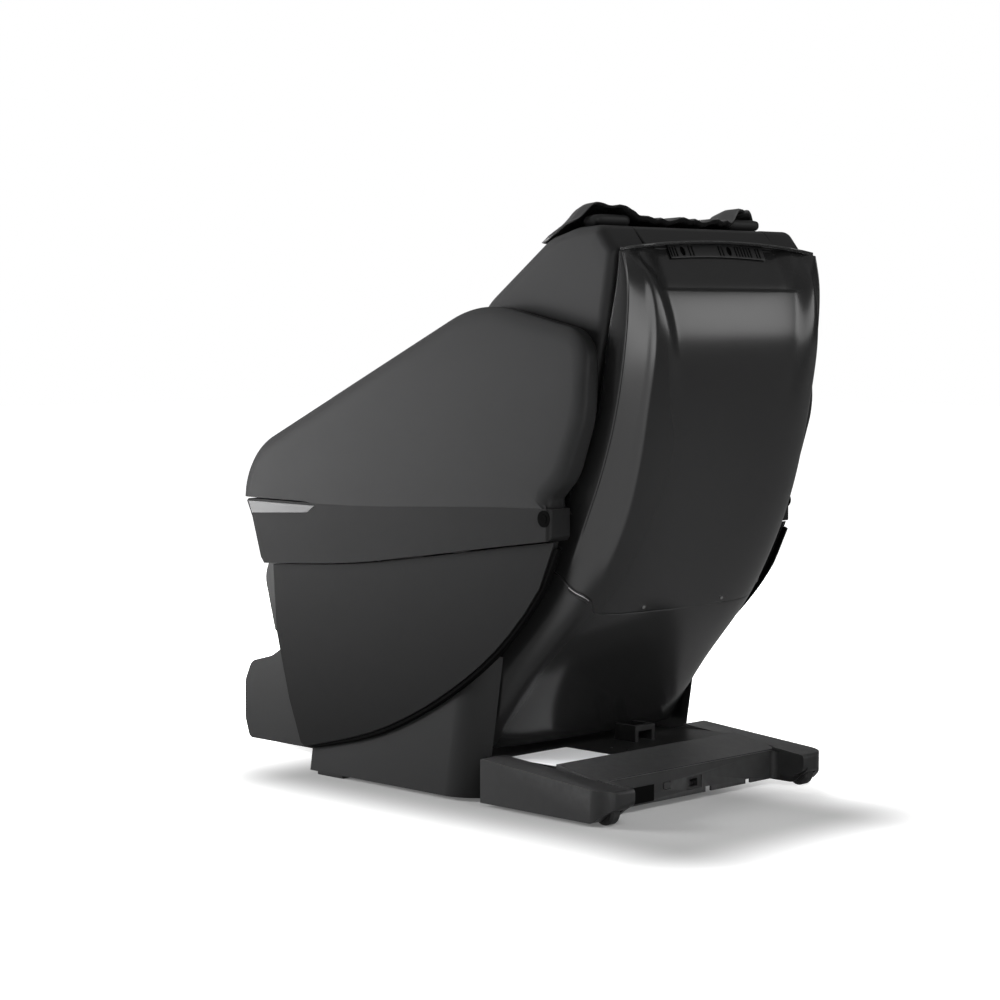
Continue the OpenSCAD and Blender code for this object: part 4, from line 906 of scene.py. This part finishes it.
def makeHeadPad():
    flap = wrapped("headPad", [padRow(x) for x in np.linspace(-headPad["half"], headPad["half"], headPad["steps"])])
    addModifier(flap, "SMOOTH", factor=0.5, iterations=3)
    place(flap, "head_pad", "flapLeather", "head_pad", angle=70)
    block = headPad["block"]
    for name, way in (("Left", 1), ("Right", -1)):
        rows = []
        for t in np.linspace(0, 1, 25):
            full = (1 - min(abs(2 * t - 1), 0.999) ** 6) ** (1 / 3)
            turns = np.linspace(0, 2 * math.pi, 33)[:-1]
            wide = [np.sign(math.cos(a)) * abs(math.cos(a)) ** 0.6 * block["size"][0] * full for a in turns]
            high = [np.sign(math.sin(a)) * abs(math.sin(a)) ** 0.7 * block["size"][1] * full for a in turns]
            rows.append([(way * mix(*block["ends"], t), block["middle"][0] + u, block["middle"][1] + v
                          + block["tilt"] * u) for u, v in zip(wide, high)])
        pillow = wrapped("headPadBlock" + name, rows)
        place(pillow, "head_pad", "leather", angle=60)


makeHeadPad()
print("head pad ready")


# cushions

def coordsOf(piece):  # points and normals, in millimetres
    count = len(piece.data.vertices)
    spots, normals = np.empty(count * 3), np.empty(count * 3)
    piece.data.vertices.foreach_get("co", spots)
    piece.data.vertices.foreach_get("normal", normals)
    return spots.reshape(-1, 3) / mm, normals.reshape(-1, 3)


def moveTo(piece, spots):
    piece.data.vertices.foreach_set("co", (spots * mm).ravel())
    piece.data.update()


def parted(piece):  # the loose parts as pieces of their own
    edited(piece, separate=dict(type="LOOSE"))
    return list(bpy.context.selected_objects)


def swollen(piece, pad):  # one pad filled by cloth simulation, its points' travel held to a limit
    spots = coordsOf(piece)[0]
    middle = (spots.min(axis=0) + spots.max(axis=0)) / 2
    size = spots.max(axis=0) - spots.min(axis=0)
    moveTo(piece, middle + (spots - middle) * (1 - 2 * pad["shrink"] / size))
    addModifier(piece, "REMESH", mode="VOXEL", voxel_size=pad["voxel"] * mm)
    addModifier(piece, "SMOOTH", factor=0.5, iterations=pad.get("easing", 14))
    before, normals = coordsOf(piece)
    pick(piece)
    cloth = piece.modifiers.new("filling", "CLOTH")
    cloth.settings.quality = 3
    cloth.settings.use_pressure = True
    cloth.settings.uniform_pressure_force = pad["pressure"]
    cloth.settings.effector_weights.gravity = 0
    for number in range(1, 21):
        bpy.context.scene.frame_set(number)
    shape = piece.evaluated_get(bpy.context.evaluated_depsgraph_get())
    after = np.empty(len(before) * 3)
    shape.data.vertices.foreach_get("co", after)
    travel = after.reshape(-1, 3) / mm - before
    piece.modifiers.remove(cloth)
    bpy.context.scene.frame_set(1)
    length = np.linalg.norm(travel, axis=1, keepdims=True)
    moveTo(piece, before + travel * np.minimum(1, pad["travel"] / np.maximum(length, 1e-6)))
    addModifier(piece, "SMOOTH", factor=0.5, iterations=10)
    addModifier(piece, "SUBSURF", levels=1, render_levels=1)
    return piece


def groove(distance, width):
    return np.exp(-(distance / width) ** 2)


def padFrom(source, name, pad, finish, reliefAt, limit=None):
    piece = tidyCopy(source, name)
    piece = joined([swollen(part, pad) for part in parted(piece)])
    piece.name = piece.data.name = name
    spots, normals = coordsOf(piece)
    moveTo(piece, spots + normals * reliefAt(spots, normals)[:, None])
    if limit:
        moveTo(piece, limit(coordsOf(piece)[0]))
    place(piece, bodyOf[source], finish, source, angle=80)
    return piece


def facing(amount):  # a mask of the sewn side, from how far the normals turn to it
    return np.clip((amount - 0.35) / 0.4, 0, 1)


backLean = dict(angle=19, y=155, z=400)
seatPad = dict(voxel=6, shrink=7, pressure=4, travel=12, base=410.3, seams=(-178, -58, 62), sag=-0.0006,
               bolster=152, depth=6, creaseAt=38, creaseDepth=2.5)
backPad = dict(voxel=6, shrink=7, pressure=4, travel=12, seams=(185, 300, 415, 530, 645), sag=0.0009, bolster=128,
               depth=7, front=59.7)
armRest = dict(voxel=6, shrink=4, pressure=3, travel=6, depth=4, seams=((560, 0.12), (610, 0.14)))
calfPad = dict(voxel=5, shrink=3, pressure=3, travel=6, easing=8, depth=4, seams=(336, 388))
footPad = dict(voxel=5, shrink=1.5, pressure=2, travel=3, easing=5, depth=1.5, seams=(-560, -490))


def seamMask(x, along, pad):  # the seams across the middle and the two beside the bolsters
    cross = sum(groove(along - place - pad["sag"] * x * x, 6) for place in pad["seams"]) * (abs(x) < pad["bolster"])
    return np.maximum(cross, groove(abs(x) - pad["bolster"], 5))


def seatRelief(spots, normals):
    x, y, z = spots.T
    edge = np.clip(1 - abs(normals[:, 2]) * 1.2, 0, 1)
    crease = groove(z - seatPad["base"] - seatPad["creaseAt"], 5) * edge
    return facing(normals[:, 2]) * (-seatPad["depth"] * seamMask(x, y, seatPad)) - seatPad["creaseDepth"] * crease


def seatLimit(spots):
    spots[:, 2] = np.maximum(spots[:, 2], seatPad["base"])
    return spots


def inBack(spots):  # places measured along and across the backrest
    lean = math.radians(backLean["angle"])
    y, z = spots[:, 1] - backLean["y"], spots[:, 2] - backLean["z"]
    return spots[:, 0], y * math.cos(lean) - z * math.sin(lean), y * math.sin(lean) + z * math.cos(lean)


def backRelief(spots, normals):
    x, y, z = inBack(spots)
    lean = math.radians(backLean["angle"])
    forward = -(normals[:, 1] * math.cos(lean) - normals[:, 2] * math.sin(lean))
    return facing(forward) * (-backPad["depth"] * seamMask(x, z, backPad))


def backLimit(spots):  # held clear of the frame behind it
    lean = math.radians(backLean["angle"])
    over = np.maximum(inBack(spots)[1] - backPad["front"], 0)
    spots[:, 1] -= over * math.cos(lean)
    spots[:, 2] += over * math.sin(lean)
    return spots


def armRestRelief(spots, normals):
    x, y, z = spots.T
    seams = sum(groove(z - height - slope * (y + 100), 4) for height, slope in armRest["seams"])
    return facing(-np.sign(x) * normals[:, 0]) * -armRest["depth"] * seams


def calfRelief(spots, normals):
    seams = sum(groove(spots[:, 2] - height, 4) for height in calfPad["seams"])
    return facing(-normals[:, 1]) * -calfPad["depth"] * seams


def footRelief(spots, normals):
    seams = sum(groove(spots[:, 1] - along, 3) for along in footPad["seams"])
    return facing(normals[:, 2]) * -footPad["depth"] * seams


padFrom("seat_cushion", "seatCushion", seatPad, "padLeather", seatRelief, seatLimit)
padFrom("back_cushion", "backCushion", backPad, "padLeather", backRelief, backLimit)
for side in ("left", "right"):
    padFrom("arm_pad_" + side, "armPad" + side.title(), armRest, "padLeather", armRestRelief)
padFrom("calf_pads", "calfPads", calfPad, "padLeather", calfRelief)
padFrom("foot_pads", "footPads", footPad, "padLeather", footRelief)
print("cushions ready")

# plain pieces
plain = [  # node, piece, finish, edge width
    ("base_frame", "baseFrame", "framePaint", 1.5), ("deck", "deck", "deckSatinShadedTray", 1.8),
    ("rear_beam_left", "rearBeamLeft", "baseSatin", 2.0), ("rear_beam_right", "rearBeamRight", "baseSatin", 2.0),
    ("rear_fascia", "rearFascia", "baseSatin", 1.3), ("service_plate", "servicePlate", "palePlate", 0.3),
    ("blank_plate", "blankPlate", "deepBlack", 0.3), ("power_inlet", "powerInlet", "blackPlastic", 0.4),
    ("power_rocker", "powerRocker", "blackPlastic", 0.5), ("front_feet", "frontFeet", "rubber", 1.0),
    ("caster_wheel_left", "casterWheelLeft", "rubber", 0.8),
    ("caster_wheel_right", "casterWheelRight", "rubber", 0.8),
    ("caster_axles", "casterAxles", "steel", 0.4), ("seat_frame", "seatFrame", "framePaint", 1.0),
    ("control_box", "controlBox", "motorBlack", 1.5), ("air_pump", "airPump", "motorBlack", 1.5),
    ("recline_motor", "reclineMotor", "motorBlack", 1.2), ("recline_rod", "reclineRod", "steel", 0.8),
    ("leg_motor", "legMotor", "motorBlack", 1.2), ("leg_rod", "legRod", "steel", 0.8),
    ("controller_post", "controllerPost", "blackPlastic", 1.0), ("controller", "controller", "blackPlastic", 2.5),
    ("power_button", "powerButton", "paleButton", 0.5), ("stop_button", "stopButton", "redButton", 0.5),
    ("back_frame", "backFrame", "framePaint", 1.0), ("guide_rails", "guideRails", "steel", 0.8),
    ("lift_screw", "liftScrew", "steel", 0.4), ("massage_carriage", "massageCarriage", "motorBlack", 1.0),
    ("knead_arm_left", "kneadArmLeft", "blackPlastic", 1.5),
    ("knead_arm_right", "kneadArmRight", "blackPlastic", 1.5),
    ("leg_shell", "legShell", "legGloss", 8.0), ("foot_shell", "footShell", "legGloss", 9.0),
    ("cover_screws", "coverScrews", "steel", 0.4),
    ("top_cap", "topCap", "shadedCapLeather", 4.0),
]
made = {source: softened(source, name, finish, width) for source, name, finish, width in plain}

fillet = dict(radius=16, corner=(262.0, 520), heights=(13.5, 72), lap=0.4)
for turn, name in ((1, "Left"), (-1, "Right")):
    (x, y), radius, lap = fillet["corner"], fillet["radius"], fillet["lap"]
    arc = [(x - radius * (1 - math.sin(a)), y + radius * (1 - math.cos(a))) for a in np.linspace(0, math.pi / 2, 13)]
    plan = arc + [(x + lap, y + radius), (x + lap, y - lap), (x - radius, y - lap)]
    rows = [[(turn * u, v, z) for u, v in plan] for z in fillet["heights"]]
    place(wrapped("fasciaFillet" + name, rows), "base", "baseSatin", angle=40)
print("plain pieces ready")
